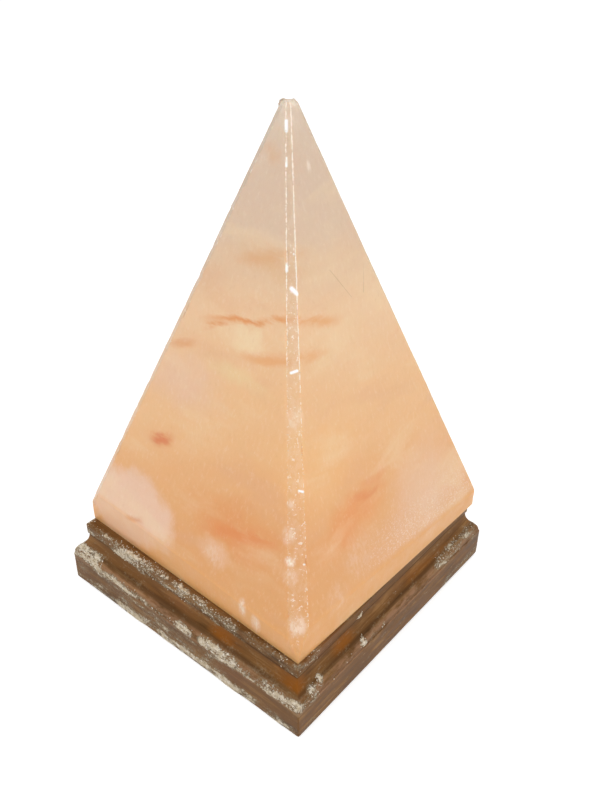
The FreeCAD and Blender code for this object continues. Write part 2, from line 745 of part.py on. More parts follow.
def wing_blade(name):
    """A sprung wing on the +X side: down and out to the bore, in to a waist, out to a tab."""
    half = "wing_thickness / 2"
    press = f"(sqrt((bore_radius - wing_gap) ^ 2 - (wing_width / 2) ^ 2) - {half})"
    way = [
        (HINGE_X, HINGE_LEVEL),
        (press, f"{HINGE_LEVEL} - wing_press"),
        (f"{press} - wing_waist", f"{HINGE_LEVEL} - wing_grip"),
        (f"{press} - wing_waist + wing_flare", f"{HINGE_LEVEL} - wing_length"),
    ]
    inside = [(f"{x} - {half}", level) for x, level in way]
    outside = [(f"{x} + {half}", level) for x, level in reversed(way)]
    outside[-1] += ("wing_thickness * 0.6", LEFT)
    return extruded(name, "XZ_Plane", inside + outside, "wing_width")


def build_wings():
    finished(wing_blade("wing_on_right"), "clip_wing_right")
    left = wing_blade("wing_on_left")
    left.Placement = Placement(Vector(), Rotation(Vector(0, 0, 1), FULL_TURN / 2))
    finished(left, "clip_wing_left")


# ---------------------------------------------------------------- bulb

def build_bulb_cap():
    finished(revolved("tip_dome", [
        ("0", BULB_LOW, "(tip_radius ^ 2 + (tip_height / 2) ^ 2) / tip_height", LEFT),
        ("tip_radius", f"{BULB_LOW} + tip_height / 2"),
        ("tip_radius", f"{BULB_LOW} + tip_height"),
        ("0", f"{BULB_LOW} + tip_height"),
    ]), "bulb_tip")
    finished(cone("vitrite_cone", "vitrite_radius", "cap_thread_radius", "vitrite_height", z=VITRITE_LOW),
             "bulb_vitrite")
    length = f"({SKIRT_TOP} - {CAP_LOW})"
    skirt = revolved("skirt_solid", [
        ("0", SKIRT_LOW),
        ("cap_thread_radius", SKIRT_LOW),
        ("cap_skirt_radius", f"{SKIRT_TOP} - cap_skirt_length / 3"),
        ("cap_skirt_radius", SKIRT_TOP),
        ("0", SKIRT_TOP),
    ])
    beads = thread_beads("cap_bead", "cap_thread_radius", CAP_LOW, "cap_thread_length")
    solid = fuse("cap_solid", cylinder("cap_thread", "cap_thread_radius", "cap_thread_length", z=CAP_LOW),
                 skirt, *beads)
    hollow = revolved("cap_hollow", [
        ("0", CAP_LOW),
        ("cap_thread_radius - cap_wall", CAP_LOW),
        ("cap_thread_radius - cap_wall", SKIRT_LOW),
        ("cap_skirt_radius - cap_wall", f"{SKIRT_TOP} - cap_skirt_length / 3"),
        ("cap_skirt_radius - cap_wall", f"{CAP_LOW} + {length}"),
        ("0", f"{CAP_LOW} + {length}"),
    ])
    finished(cut("cap_cut", solid, hollow), "bulb_cap")


def bulb_outline(inset, low):
    """The bulb's outline at a distance inside its outer surface, open to the axis at both ends."""
    shoulder_top = f"({GLASS_LOW} + glass_neck_length + glass_shoulder)"
    rise = "glass_shoulder"
    spread = f"(glass_radius - {GLASS_NECK})"
    radius = f"(({spread} ^ 2 + {rise} ^ 2) / (2 * {spread}) - {inset})"
    return [
        ("0", low),
        (f"{GLASS_NECK} - {inset}", low),
        (f"{GLASS_NECK} - {inset}", f"{GLASS_LOW} + glass_neck_length"),
        (f"glass_radius - {inset}", shoulder_top),
        (f"glass_radius - {inset}", f"{GLASS_TOP} - glass_radius", f"glass_radius - {inset}", LEFT),
        ("0", f"{GLASS_TOP} - {inset}"),
    ], radius


def build_bulb_glass():
    outside, shoulder_radius = bulb_outline("0", GLASS_LOW)
    outside[2] += (shoulder_radius, LEFT)
    inside, shoulder_radius = bulb_outline("glass_wall", GLASS_LOW)
    inside[2] += (shoulder_radius, LEFT)
    blown = cut("glass_cut", revolved("glass_outside", outside), revolved("glass_inside", inside))
    finished(blown, "bulb_glass")


def build_bulb_inside():
    flare = revolved("stem_flare", [
        ("0", GLASS_LOW),
        (f"{GLASS_NECK} - glass_wall", GLASS_LOW),
        (f"{GLASS_NECK} - glass_wall", f"{GLASS_LOW} + glass_wall"),
        ("stem_waist_radius", f"{GLASS_LOW} + stem_length / 3"),
        ("press_thickness / 2", f"{STEM_TOP} - press_height / 2"),
        ("0", f"{STEM_TOP} - press_height / 2"),
    ])
    press = centred_box("stem_press", "2 * lead_spread + press_thickness", "press_thickness",
                        (f"{STEM_TOP} - press_height", STEM_TOP))
    finished(fuse("stem_solid", flare, press), "bulb_stem")
    leads = [cylinder("lead", "wire_radius", "lead_length", f"{sign} * lead_spread", z=STEM_TOP)
             for sign in (-1, 1)]
    finished(group("lead_group", leads), "bulb_leads")
    supports = [cylinder("support", "wire_radius / 2", "lead_length", f"{sign} * lead_spread / 3", z=STEM_TOP)
                for sign in (-1, 1)]
    finished(group("support_group", supports), "bulb_supports")
    half_length = "(lead_spread + 2 * wire_radius)"
    finished(cylinder("filament_coil", "filament_radius", f"2 * {half_length}", f"-{half_length}",
                      z=f"{FILAMENT_LEVEL} + filament_radius", rotation=ALONG_X), "bulb_filament")


# ---------------------------------------------------------------- the lamp

def check_document():
    """Stop if any object failed to build or any sub-part isn't a sound solid."""
    for item in document.Objects:
        if {"Invalid", "Error"} & set(item.State):
            raise RuntimeError(f"{item.Name} ({item.Label}) failed: {item.State}")
    for item in subparts:
        shape = item.Shape
        if shape.isNull() or not shape.isValid() or not shape.Solids or shape.Volume <= 0:
            raise RuntimeError(f"{item.Label} is not a sound solid")


def export_subparts():
    os.makedirs("parts", exist_ok=True)
    for item in subparts:
        item.Shape.exportStep(f"parts/{item.Label}.step")
        print(f"{item.Label}: {len(item.Shape.Solids)} solids, {item.Shape.Volume / 1000:.3f} cm3")


build_wooden_base()
build_foot_pads()
build_block_screws()
build_wall_plugs()
build_salt()
build_holder_housing()
build_holder_core()
build_thread_sleeve()
build_contacts()
build_clip_collar()
build_collar_fasteners()
build_wings()
build_bulb_cap()
build_bulb_glass()
build_bulb_inside()
document.recompute()
check_document()
export_subparts()
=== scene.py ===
"""Salt crystal lamp: a ground pyramid of rock salt on a moulded wooden base.

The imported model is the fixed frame.  The salt block and the moulded base are built again
here as finer meshes in the same places, grains of salt are scattered over the wood and
along the salt's arrises, and every other solid of the frame keeps its shape and gets a
finish.  Sizes are in millimetres and become metres when a mesh is made.
"""

from __future__ import annotations

import itertools
import json
import logging
import math
from contextlib import contextmanager
from dataclasses import dataclass
from enum import Enum
from typing import Iterator, Sequence, Union

import bmesh
import bpy
import numpy as np
from mathutils import Matrix, Vector
from mathutils.kdtree import KDTree

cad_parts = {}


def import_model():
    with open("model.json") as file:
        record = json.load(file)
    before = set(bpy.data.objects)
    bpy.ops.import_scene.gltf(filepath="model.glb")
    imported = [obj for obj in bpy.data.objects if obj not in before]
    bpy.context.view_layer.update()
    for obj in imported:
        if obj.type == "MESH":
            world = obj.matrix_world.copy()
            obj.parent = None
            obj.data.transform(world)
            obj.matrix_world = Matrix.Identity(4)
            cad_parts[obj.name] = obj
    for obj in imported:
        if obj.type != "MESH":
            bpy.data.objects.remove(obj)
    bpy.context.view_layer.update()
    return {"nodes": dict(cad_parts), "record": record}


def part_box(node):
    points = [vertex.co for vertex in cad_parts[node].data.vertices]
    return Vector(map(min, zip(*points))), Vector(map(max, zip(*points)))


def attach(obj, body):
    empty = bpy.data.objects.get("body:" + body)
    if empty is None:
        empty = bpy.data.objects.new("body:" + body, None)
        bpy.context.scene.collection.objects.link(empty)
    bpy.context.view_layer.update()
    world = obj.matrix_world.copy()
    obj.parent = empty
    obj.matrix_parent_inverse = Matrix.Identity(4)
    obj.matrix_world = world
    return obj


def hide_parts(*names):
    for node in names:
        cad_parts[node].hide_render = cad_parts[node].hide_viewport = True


LOG = logging.getLogger("salt_lamp")

MM = 0.001
UP = (0, 0, 1)

Colour = tuple[float, float, float, float]
Place = tuple[float, float, float]
Socket = bpy.types.NodeSocket
Input = Union[float, Sequence[float], Socket]
Array = np.ndarray
Item = bpy.types.Object
Material = bpy.types.Material
Mesh = bpy.types.Mesh
Plane = tuple[Array, float]


class Body(Enum):
    """The body of the frame that the new pieces ride on."""

    LAMP = "lamp"


class Slot(Enum):
    """The record's material slots that the new pieces take their finish from."""

    SALT = "salt"
    WOOD = "wood"


def colour(text: str) -> Colour:
    """Turn a screen colour into a linear one.

    Args:
        text: six hexadecimal digits, as a screen shows the colour.

    Returns:
        Linear red, green and blue, and an alpha of 1.
    """
    parts = [int(text[start:start + 2], 16) / 255 for start in (0, 2, 4)]
    linear = [part / 12.92 if part <= 0.04045 else ((part + 0.055) / 1.055) ** 2.4 for part in parts]
    return (linear[0], linear[1], linear[2], 1.0)


# ---------------------------------------------------------------- meshes


@dataclass(frozen=True)
class LatticeNoise:
    """Smooth random values on a lattice, the same at every run."""

    seed: int
    table_size: int = 8192

    def at(self, points: Array, size: float, octaves: int = 1) -> Array:
        """Sample the noise.

        Args:
            points: an array of points, in millimetres.
            size: the lattice's pitch for the coarsest octave, in millimetres.
            octaves: how many finer layers are added, each half as strong as the one before.

        Returns:
            One value for each point, from about -1 to 1.
        """
        table = np.random.default_rng(self.seed).uniform(-1, 1, self.table_size)
        total, strength, weight_sum = np.zeros(len(points)), 1.0, 0.0
        for octave in range(octaves):
            scaled = points / (size / 2 ** octave) + 17.3 * octave
            cell = np.floor(scaled).astype(np.int64)
            part = scaled - cell
            part = part * part * (3 - 2 * part)
            layer = np.zeros(len(points))
            for corner in itertools.product((0, 1), repeat=3):
                weight = np.prod(np.where(np.array(corner), part, 1 - part), axis=1)
                index = ((cell + np.array(corner)) * (73856093, 19349663, 83492791)).sum(1)
                layer += weight * table[(index ^ (index >> 13)) % self.table_size]
            total += strength * layer
            weight_sum += strength
            strength /= 2
        return total / weight_sum


def smooth_step(values: Array, low: float, high: float) -> Array:
    """Rise smoothly from 0 at low to 1 at high."""
    part = np.clip((values - low) / (high - low), 0, 1)
    return part * part * (3 - 2 * part)


def new_object(name: str, data: bpy.types.ID) -> Item:
    """Link a mesh, a camera or a light to the scene as an object at the origin."""
    item = bpy.data.objects.new(name, data)
    bpy.context.scene.collection.objects.link(item)
    return item


def dress(item: Item, material: Material) -> None:
    """Give an object one material in place of any it has."""
    item.data.materials.clear()
    item.data.materials.append(material)


@contextmanager
def reshaped(mesh: Mesh) -> Iterator[bmesh.types.BMesh]:
    """Open a mesh for reshaping and write it back at the end."""
    shape = bmesh.new()
    shape.from_mesh(mesh)
    yield shape
    shape.to_mesh(mesh)
    shape.free()


def closed_rows(name: str, rows: Array, first_pole: Place, last_pole: Place) -> Item:
    """Join closed rings of points into a skin that ends in a point at each end.

    Args:
        name: the object's name.
        rows: rings of points, as an array of ring, point and axis, in millimetres.
        first_pole: the point that closes the skin before the first ring.
        last_pole: the point that closes it after the last ring.

    Returns:
        The object, with its faces pointing outwards.
    """
    count, around = rows.shape[:2]
    points = np.concatenate([rows.reshape(-1, 3), [first_pole, last_pole]]) * MM
    index = np.arange(count * around).reshape(count, around)
    after = np.roll(index, -1, axis=1)
    quads = np.stack([index[:-1], after[:-1], after[1:], index[1:]], axis=-1).reshape(-1, 4)
    caps = [(count * around, b, a) for a, b in zip(index[0], after[0])]
    caps += [(count * around + 1, a, b) for a, b in zip(index[-1], after[-1])]
    mesh = bpy.data.meshes.new(name)
    mesh.from_pydata(points.tolist(), [], quads.tolist() + caps)
    with reshaped(mesh) as shape:
        bmesh.ops.recalc_face_normals(shape, faces=shape.faces)
    return new_object(name, mesh)


def turned(name: str, profile: Sequence[tuple[float, float]], x: float, y: float,
           around: int = 48) -> Item:
    """Turn a profile of radii and levels round an upright axis into a closed solid."""
    angles = np.linspace(0, 2 * math.pi, around, endpoint=False)
    rows = np.array([[(x + radius * math.cos(a), y + radius * math.sin(a), level) for a in angles]
                     for radius, level in profile])
    return closed_rows(name, rows, (x, y, profile[0][1]), (x, y, profile[-1][1]))


def block(name: str, low: Place, high: Place) -> Item:
    """A plain box between two corners, used only as a cutter."""
    mesh = bpy.data.meshes.new(name)
    with reshaped(mesh) as shape:
        bmesh.ops.create_cube(shape, size=1)
        for vertex in shape.verts:
            for axis in range(3):
                vertex.co[axis] = (high[axis] if vertex.co[axis] > 0 else low[axis]) * MM
    return new_object(name, mesh)


def joined(name: str, items: Sequence[Item]) -> Item:
    """Put several objects' meshes into one new object and delete the old ones."""
    mesh = bpy.data.meshes.new(name)
    with reshaped(mesh) as shape:
        for item in items:
            shape.from_mesh(item.data)
            bpy.data.objects.remove(item)
    return new_object(name, mesh)


def applied(item: Item) -> Item:
    """Turn an object's modifiers into a plain mesh and remove them."""
    mesh = bpy.data.meshes.new_from_object(item.evaluated_get(bpy.context.evaluated_depsgraph_get()))
    mesh.name = item.name
    item.modifiers.clear()
    item.data = mesh
    return item


def cut_away(item: Item, cutters: Sequence[Item]) -> Item:
    """Cut the cutters' shapes out of an object, one after another, and delete them."""
    for cutter in cutters:
        cut = item.modifiers.new(cutter.name, "BOOLEAN")
        cut.operation = "DIFFERENCE"
        cut.solver = "EXACT"
        cut.object = cutter
    applied(item)
    for cutter in cutters:
        bpy.data.objects.remove(cutter)
    return item


def vertices_of(mesh: Mesh) -> tuple[Array, Array]:
    """Read a mesh's points, in millimetres, and its normals."""
    points = np.zeros(len(mesh.vertices) * 3, np.float32)
    mesh.vertices.foreach_get("co", points)
    normals = np.zeros(len(mesh.vertices) * 3, np.float32)
    mesh.vertices.foreach_get("normal", normals)
    return points.reshape(-1, 3).astype(float) / MM, normals.reshape(-1, 3).astype(float)


def move_vertices(mesh: Mesh, points: Array) -> None:
    """Write a mesh's points, given in millimetres."""
    mesh.vertices.foreach_set("co", (points * MM).astype(np.float32).ravel())
    mesh.update()


def keep_amount(mesh: Mesh, name: str, values: Array) -> None:
    """Store one number for each point as an attribute that finishes and scatters read."""
    layer = mesh.attributes.get(name) or mesh.attributes.new(name, "FLOAT", "POINT")
    layer.data.foreach_set("value", values.astype(np.float32))


def shade_by_angle(item: Item, degrees: float) -> None:
    """Shade an object smoothly except across edges sharper than an angle."""
    with reshaped(item.data) as shape:
        for face in shape.faces:
            face.smooth = True
        for edge in shape.edges:
            if len(edge.link_faces) == 2:
                edge.smooth = edge.calc_face_angle(0) < math.radians(degrees)


# ---------------------------------------------------------------- finishes


class ShaderWork:
    """A finish's node tree while it is wired.  Places in it are in millimetres."""

    def __init__(self, name: str) -> None:
        """Start a finish with a Principled shader and the piece's own coordinates."""
        self.material = bpy.data.materials.new(name)
        self.material.use_nodes = True
        self.tree = self.material.node_tree
        self.shader = self.tree.nodes["Principled BSDF"]
        own = self.node("ShaderNodeTexCoord").outputs["Object"]
        self.place = self.vector("SCALE", own, scale=1 / MM)

    def node(self, kind: str, **settings: object) -> bpy.types.Node:
        """Add a node and set its own properties."""
        item = self.tree.nodes.new(kind)
        for name, value in settings.items():
            setattr(item, name, value)
        return item

    def feed(self, socket: Socket, value: Input) -> None:
        """Link a socket to another one's output, or set it to a constant."""
        if isinstance(value, bpy.types.NodeSocket):
            self.tree.links.new(value, socket)
        else:
            socket.default_value = value

    def vector(self, operation: str, first: Input, second: Input = (0, 0, 0), scale: Input = 1.0) -> Socket:
        """Do vector arithmetic."""
        item = self.node("ShaderNodeVectorMath", operation=operation)
        self.feed(item.inputs[0], first)
        self.feed(item.inputs[1], second)
        self.feed(item.inputs[3], scale)
        return item.outputs["Value" if operation in ("DOT_PRODUCT", "LENGTH", "DISTANCE") else "Vector"]

    def number(self, operation: str, first: Input, second: Input = 0.0) -> Socket:
        """Do arithmetic on two numbers."""
        item = self.node("ShaderNodeMath", operation=operation)
        self.feed(item.inputs[0], first)
        self.feed(item.inputs[1], second)
        return item.outputs[0]

    def times(self, first: Input, second: Input) -> Socket:
        """Multiply two numbers."""
        return self.number("MULTIPLY", first, second)

    def plus(self, first: Input, second: Input) -> Socket:
        """Add two numbers."""
        return self.number("ADD", first, second)

    def minus(self, first: Input, second: Input) -> Socket:
        """Take the second number from the first."""
        return self.number("SUBTRACT", first, second)

    def larger(self, first: Input, second: Input) -> Socket:
        """Take the larger of two numbers."""
        return self.number("MAXIMUM", first, second)

    def along(self, direction: Place) -> Socket:
        """Measure the place along a direction."""
        return self.vector("DOT_PRODUCT", self.place, direction)

    def step(self, value: Input, low: float, high: float, start: float = 0.0, end: float = 1.0) -> Socket:
        """Go smoothly from start to end while a value goes from low to high."""
        item = self.node("ShaderNodeMapRange", interpolation_type="SMOOTHSTEP")
        for name, entry in zip(("Value", "From Min", "From Max", "To Min", "To Max"),
                               (value, low, high, start, end)):
            self.feed(item.inputs[name], entry)
        return item.outputs["Result"]

    def noise_at(self, place: Socket, detail: float, roughness: float, twist: float = 0.0) -> bpy.types.Node:
        """Add a noise whose features are about 1 wide at the given places."""
        item = self.node("ShaderNodeTexNoise")
        self.feed(item.inputs["Vector"], place)
        for name, value in (("Scale", 1.0), ("Detail", detail), ("Roughness", roughness),
                            ("Distortion", twist)):
            item.inputs[name].default_value = value
        return item

    def noise(self, size: float, detail: float = 2.0, stretch: Place = (1, 1, 1),
              roughness: float = 0.5, twist: float = 0.0, shift: float = 0.0) -> Socket:
        """Sample noise whose features are about a size in millimetres, stretched along axes."""
        place = self.vector("MULTIPLY", self.place, [1 / (size * part) for part in stretch])
        place = self.vector("ADD", place, (shift, shift, shift))
        return self.noise_at(place, detail, roughness, twist).outputs["Fac"]

    def wave(self, reach: float, *noise: Input, **more: Input) -> Socket:
        """Sample noise about 0 in place of about a half, and scale it."""
        return self.times(self.minus(self.noise(*noise, **more), 0.5), reach)

    def amount(self, name: str) -> Socket:
        """Read a number that the mesh stores at its points."""
        return self.node("ShaderNodeAttribute", attribute_name=name).outputs["Fac"]

    def ramp(self, value: Socket, stops: Sequence[tuple[float, str]]) -> Socket:
        """Turn a number into a colour along a ramp."""
        item = self.node("ShaderNodeValToRGB")
        item.color_ramp.interpolation = "EASE"
        elements = item.color_ramp.elements
        while len(elements) < len(stops):
            elements.new(1.0)
        for element, (position, tint) in zip(elements, sorted(stops)):
            element.position = position
            element.color = colour(tint)
        self.feed(item.inputs["Fac"], value)
        return item.outputs["Color"]

    def lay(self, under: Input, over: str | Socket, share: Input) -> Socket:
        """Lay one colour over another, by a share from 0 to 1."""
        item = self.node("ShaderNodeMix", data_type="RGBA", blend_type="MIX")
        self.feed(item.inputs["Factor"], share)
        self.feed(item.inputs[6], under)
        self.feed(item.inputs[7], colour(over) if isinstance(over, str) else over)
        return item.outputs[2]

    def drifted(self, size: float, reach: float) -> Socket:
        """Shift the places about by noise, so that what is measured from them has ragged edges."""
        item = self.noise_at(self.vector("SCALE", self.place, scale=1 / size), 5.0, 0.6)
        shift = self.vector("SUBTRACT", item.outputs["Color"], (0.5, 0.5, 0.5))
        return self.vector("ADD", self.place, self.vector("SCALE", shift, scale=reach))

    def near(self, centre: Place, radius: float, stretch: Place = (1, 1, 1), place: Input = None,
             core: float = 0.25) -> Socket:
        """Fall smoothly from 1 at a place to 0 at a radius from it, stretched along axes."""
        away = self.vector("DIVIDE", self.vector("SUBTRACT", place or self.place, centre), stretch)
        return self.step(self.vector("LENGTH", away), radius, radius * core)

    def off_line(self, start: Place, end: Place) -> Socket:
        """Measure how far the surface is from a straight line between two places."""
        way = Vector(end) - Vector(start)
        step = tuple(way.normalized())
        offset = self.vector("SUBTRACT", self.place, start)
        along = self.larger(self.vector("DOT_PRODUCT", offset, step), 0.0)
        foot = self.vector("SCALE", step, scale=self.number("MINIMUM", along, way.length))
        return self.vector("DISTANCE", offset, foot)

    def bump(self, height: Socket, depth: float) -> None:
        """Raise the surface by a height from 0 to 1, over a depth in millimetres."""
        item = self.node("ShaderNodeBump")
        item.inputs["Distance"].default_value = depth * MM
        self.feed(item.inputs["Height"], height)
        if self.shader.inputs["Normal"].is_linked:
            self.feed(item.inputs["Normal"], self.shader.inputs["Normal"].links[0].from_socket)
        self.feed(self.shader.inputs["Normal"], item.outputs["Normal"])

    def set(self, **values: Input) -> None:
        """Feed the shader's sockets, named with underscores in place of spaces."""
        for name, value in values.items():
            self.feed(self.shader.inputs[name.replace("_", " ").title().replace("Ior", "IOR")], value)


def made(kind: type, rows: Sequence[tuple]) -> tuple:
    """Make one thing of a kind from each row of values."""
    return tuple(kind(*row) for row in rows)


@dataclass(frozen=True)
class Vein:
    """A coloured sheet through the salt that shows as a vein where it meets a face."""

    level: float
    half_width: float
    centre: Place
    reach: float
    share: float
    tint: str = "DF9A66"


@dataclass(frozen=True)
class Scuff:
    """A patch of bruised, whitened salt."""

    centre: Place
    radius: float
    share: float
    stretch: Place = (1, 1, 1)


@dataclass(frozen=True)
class Bloom:
    """A soft cloud of another colour in the salt; two of them are painted light, one a reflection and one a shade."""

    centre: Place
    radius: float
    tint: str
    share: float
    stretch: Place = (1, 1, 1)
    core: float = 0.1


@dataclass(frozen=True)
class GlintOrHairline:
    """A short straight mark: a painted white glint on the facet, or a dark hairline in the salt."""

    start: Place
    end: Place
    width: float = 0.9
    tint: str = "FFFFFF"
    share: float = 1.0


@dataclass(frozen=True)
class SaltFinish:
    """Pale rock salt: bedded clouds, orange veins, chipped arrises with painted highlight along them, painted glints
    and painted shade on the front facet, and a ground surface.
    """

    name: str = "rock_salt"
    bedding: Place = (-0.4, 0.35, 1.0)
    height: float = 240.0
    beds: tuple[tuple[float, str], ...] = (
        (0.00, "E0A468"), (0.16, "E2A56C"), (0.22, "E5AA71"), (0.30, "E8B07A"), (0.38, "EBB986"),
        (0.46, "ECBD8C"), (0.55, "ECC195"), (0.63, "ECC59D"), (0.72, "E4C2A0"), (0.80, "DDC1A7"),
        (0.88, "DBC0A8"), (1.00, "DBC7B2"))
    blooms: tuple[Bloom, ...] = made(Bloom, (
        ((22, -54, 76.7), 30, "E3975A", 0.75, (1.3, 1, 0.55)),
        ((-20, -37, 125.7), 26, "E8C0A6", 0.60, (1.1, 1, 0.8)),
        ((6, -33, 138.7), 15, "EBCD9C", 0.65, (1.5, 1, 0.5)),
        ((8, -27, 153.5), 15, "F1D6AE", 0.85, (1.5, 1, 0.35)),
        # Painted reflection: the pale pink patch near the left corner copies the sheen of the wrapping film.
        ((-44, -61, 57.7), 30, "EEC9B1", 0.80, (1.15, 1, 0.75), 0.7),
        ((13, -59, 62.7), 10, "EABB97", 0.50, (1.2, 1, 0.9), 0.4), ((0, -6, 221.7), 8, "DBAC82", 0.55),
        ((7, -19, 185.7), 20, "DFB288", 0.60, (1.3, 1, 0.45)),
        ((55, -20, 79.7), 24, "E8995C", 0.75, (1, 1.2, 0.6)),
        ((53, -3, 89.7), 10, "E59B66", 0.60, (1, 1.3, 0.5)),
        ((48, -30, 109.7), 34, "F1BC80", 0.55, (1, 1, 0.8)), ((60, 32, 67.7), 34, "EBC6A8", 0.60),
        ((33, -2, 153.7), 22, "EECCA2", 0.50, (1, 1.2, 0.6)),
        # The second bloom below is painted shade: a brown spot at the foot of the front corner.
        ((68, -10, 47.7), 40, "EBB27A", 0.35, (0.3, 1, 0.35)), ((64, -63, 40.7), 9, "B08A5E", 0.50),
        ((-55, 10, 76.7), 30, "E59A60", 0.60, (1, 1.4, 0.6)),
        ((-38, -12, 129.7), 24, "EBCBA0", 0.50, (1, 1.2, 0.6)),
        ((-8, 60, 67.7), 30, "E6A068", 0.60, (1.4, 1, 0.6)), ((12, 38, 131.7), 26, "E9C2A8", 0.50)))
    veins: tuple[Vein, ...] = made(Vein, (
        (177.0, 3.0, (9, -18, 186), 22, 0.55, "DDA878"), (149.5, 1.7, (9, -27, 159), 34, 0.95, "E2995F"),
        (146.3, 1.6, (-8, -29, 154), 12, 0.85, "DF9258"), (148.5, 2.6, (29, -13, 164), 20, 0.70, "E6A56C"),
        (133.0, 2.6, (24, -28, 150), 26, 0.75, "E6A56E"),
        (139.7, 2.2, (-26, -33, 140.7), 10, 0.6, "DE9A68"), (91.7, 3.2, (-28, -47, 97), 10, 0.95, "DD8353"),
        (61.7, 3.0, (54, -6, 88), 16, 0.60, "E08A4E"), (53.7, 5.0, (56, -22, 81), 16, 0.6, "E3934F"),
        (48.0, 5.0, (24, -55, 76), 30, 0.75, "E38C4E"), (46.7, 2.0, (-36, -61, 54), 8, 0.6, "D6895A"),
        (150.0, 3.0, (-28, 20, 152), 26, 0.6), (100.0, 4.0, (-46, 10, 96), 24, 0.6),
        (120.0, 3.0, (10, 42, 118), 26, 0.6)))
    scuffs: tuple[Scuff, ...] = made(Scuff, (
        ((51, -54, 78.2), 3.4, 0.95), ((53, -55.5, 72.2), 5, 0.40),
        ((36.5, -34, 132.7), 6.5, 0.42, (0.7, 0.7, 1.3)), ((47.5, -51, 88.7), 5.5, 0.45, (0.8, 0.8, 1.2)),
        ((44.7, -45.6, 101.2), 3, 0.45, (0.6, 0.6, 1.5)), ((61, -60.5, 53.7), 6, 0.60, (1, 1, 1.3)),
        ((33, -64.2, 46.7), 4.5, 0.7, (0.7, 1, 1.6)), ((41, -65.6, 42.7), 5.5, 0.9, (0.7, 1, 1.3)),
        ((14, -59, 61.7), 9, 0.25), ((0.5, 3, 239.5), 7, 0.55), ((4, 0, 233), 5, 0.35),
        ((61, -20, 63.7), 14, 0.18), ((64, -38, 53.7), 10, 0.18),
        ((11.6, 2.7, 217.7), 3.2, 0.6, (0.5, 0.5, 1.3))))
    glints_and_hairlines: tuple[GlintOrHairline, ...] = made(GlintOrHairline, (
        # The first eight marks are painted white glints on the front facet; the last two are dark hairline cracks.
        ((19.7, -15.3, 190.7), (22.7, -14.1, 189.6), 0.8),
        ((22.3, -19.6, 178.7), (24.7, -19.2, 177.1), 1.3),
        ((17.9, -17.7, 187.7), (18.9, -18.7, 184.7), 1.0), ((4.4, -2.2, 234.3), (5.3, -3.3, 231.1), 1.1),
        ((7.9, -6.2, 222.4), (8.6, -7.0, 219.7), 0.8), ((30.8, -29.7, 149.1), (32.5, -28.2, 150.1), 0.9),
        ((46.1, -42.5, 106.1), (47.5, -41.7, 105.9), 0.8), ((56.1, -50.8, 78), (57.1, -50.2, 78.1), 0.8),
        ((24.7, 23.0, 178.2), (29.4, 17.9, 163.6), 0.35, "8E7350", 0.5),
        ((24.4, 1.2, 178.8), (29.1, 10.2, 164.5), 0.35, "B39069", 0.35)))

    def make(self) -> Material:
        """Wire the finish."""
        work = ShaderWork(self.name)
        tint = self.veined(work, self.bedded(work))
        white = self.whitened(work)
        # Painted shade: a grey tint laid over the front facet, stronger towards the top.
        facet_painted_shade = work.step(work.along(UP), 120, 185, 0.14, 0.34)
        tint = work.lay(tint, "E9AA66", work.times(work.amount("band"), 0.35))
        tint = work.lay(tint, "C4AA8E", work.times(work.amount("facet"), facet_painted_shade))
        tint = work.lay(tint, "F8EADB", white)
        # Lay the painted white glints and the dark hairlines.
        for line_mark in self.glints_and_hairlines:
            mark = work.step(work.off_line(line_mark.start, line_mark.end), line_mark.width, line_mark.width * 0.3)
            tint = work.lay(tint, line_mark.tint, work.times(mark, line_mark.share))
        work.set(base_color=tint, ior=1.54, specular_ior_level=0.35)
        work.set(roughness=work.plus(work.step(work.noise(5, 3), 0.3, 0.7, 0.36, 0.52),
                                     work.times(white, 0.2)))
        work.set(subsurface_weight=0.25, subsurface_radius=(1.0, 0.5, 0.25), subsurface_scale=0.006)
        work.bump(work.noise(1.6, 4, (1, 1, 2), roughness=0.65), 0.10)
        work.bump(work.noise(0.9, 3, roughness=0.7), 0.07)
        return work.material

    def bedded(self, work: ShaderWork) -> Socket:
        """Colour the beds of the salt and the soft clouds in them, among which are a painted reflection and a painted
        shade.
        """
        bed = work.plus(work.along(self.bedding), work.wave(30, 60, 3))
        tint = work.ramp(work.number("DIVIDE", bed, self.height), self.beds)
        ragged = work.drifted(22, 26)
        for bloom in self.blooms:
            near = work.near(bloom.centre, bloom.radius, bloom.stretch, ragged, bloom.core)
            tint = work.lay(tint, bloom.tint, work.times(near, bloom.share))
        clouds = work.noise(24, 5, (1.8, 1.8, 0.7), 0.55, 0.3, shift=3)
        mottle = work.noise(1.3, 5, (1, 1, 3), 0.7, shift=6)
        for patches, over, start, full, share in (
                (clouds, "F2D8B0", 0.50, 0.75, 0.35), (clouds, "DFA983", 0.48, 0.28, 0.30),
                (mottle, "FFF3E2", 0.52, 0.72, 0.13), (mottle, "C68F62", 0.46, 0.26, 0.13)):
            tint = work.lay(tint, over, work.step(patches, start, full, 0, share))
        return tint

    def veined(self, work: ShaderWork, tint: Socket) -> Socket:
        """Lay the orange veins over the beds."""
        level = work.plus(work.along(self.bedding), work.wave(11, 13, 6, (1.8, 1.8, 1), 0.66, 0.3))
        broken = work.step(work.noise(6, 5, (3.6, 3.6, 1), 0.65, shift=9), 0.30, 0.54)
        for vein in self.veins:
            off = work.number("ABSOLUTE", work.minus(level, vein.level))
            band = work.times(work.step(off, vein.half_width * 1.6, 0), work.near(vein.centre, vein.reach))
            tint = work.lay(tint, vein.tint, work.times(band, work.times(broken, vein.share)))
        return tint

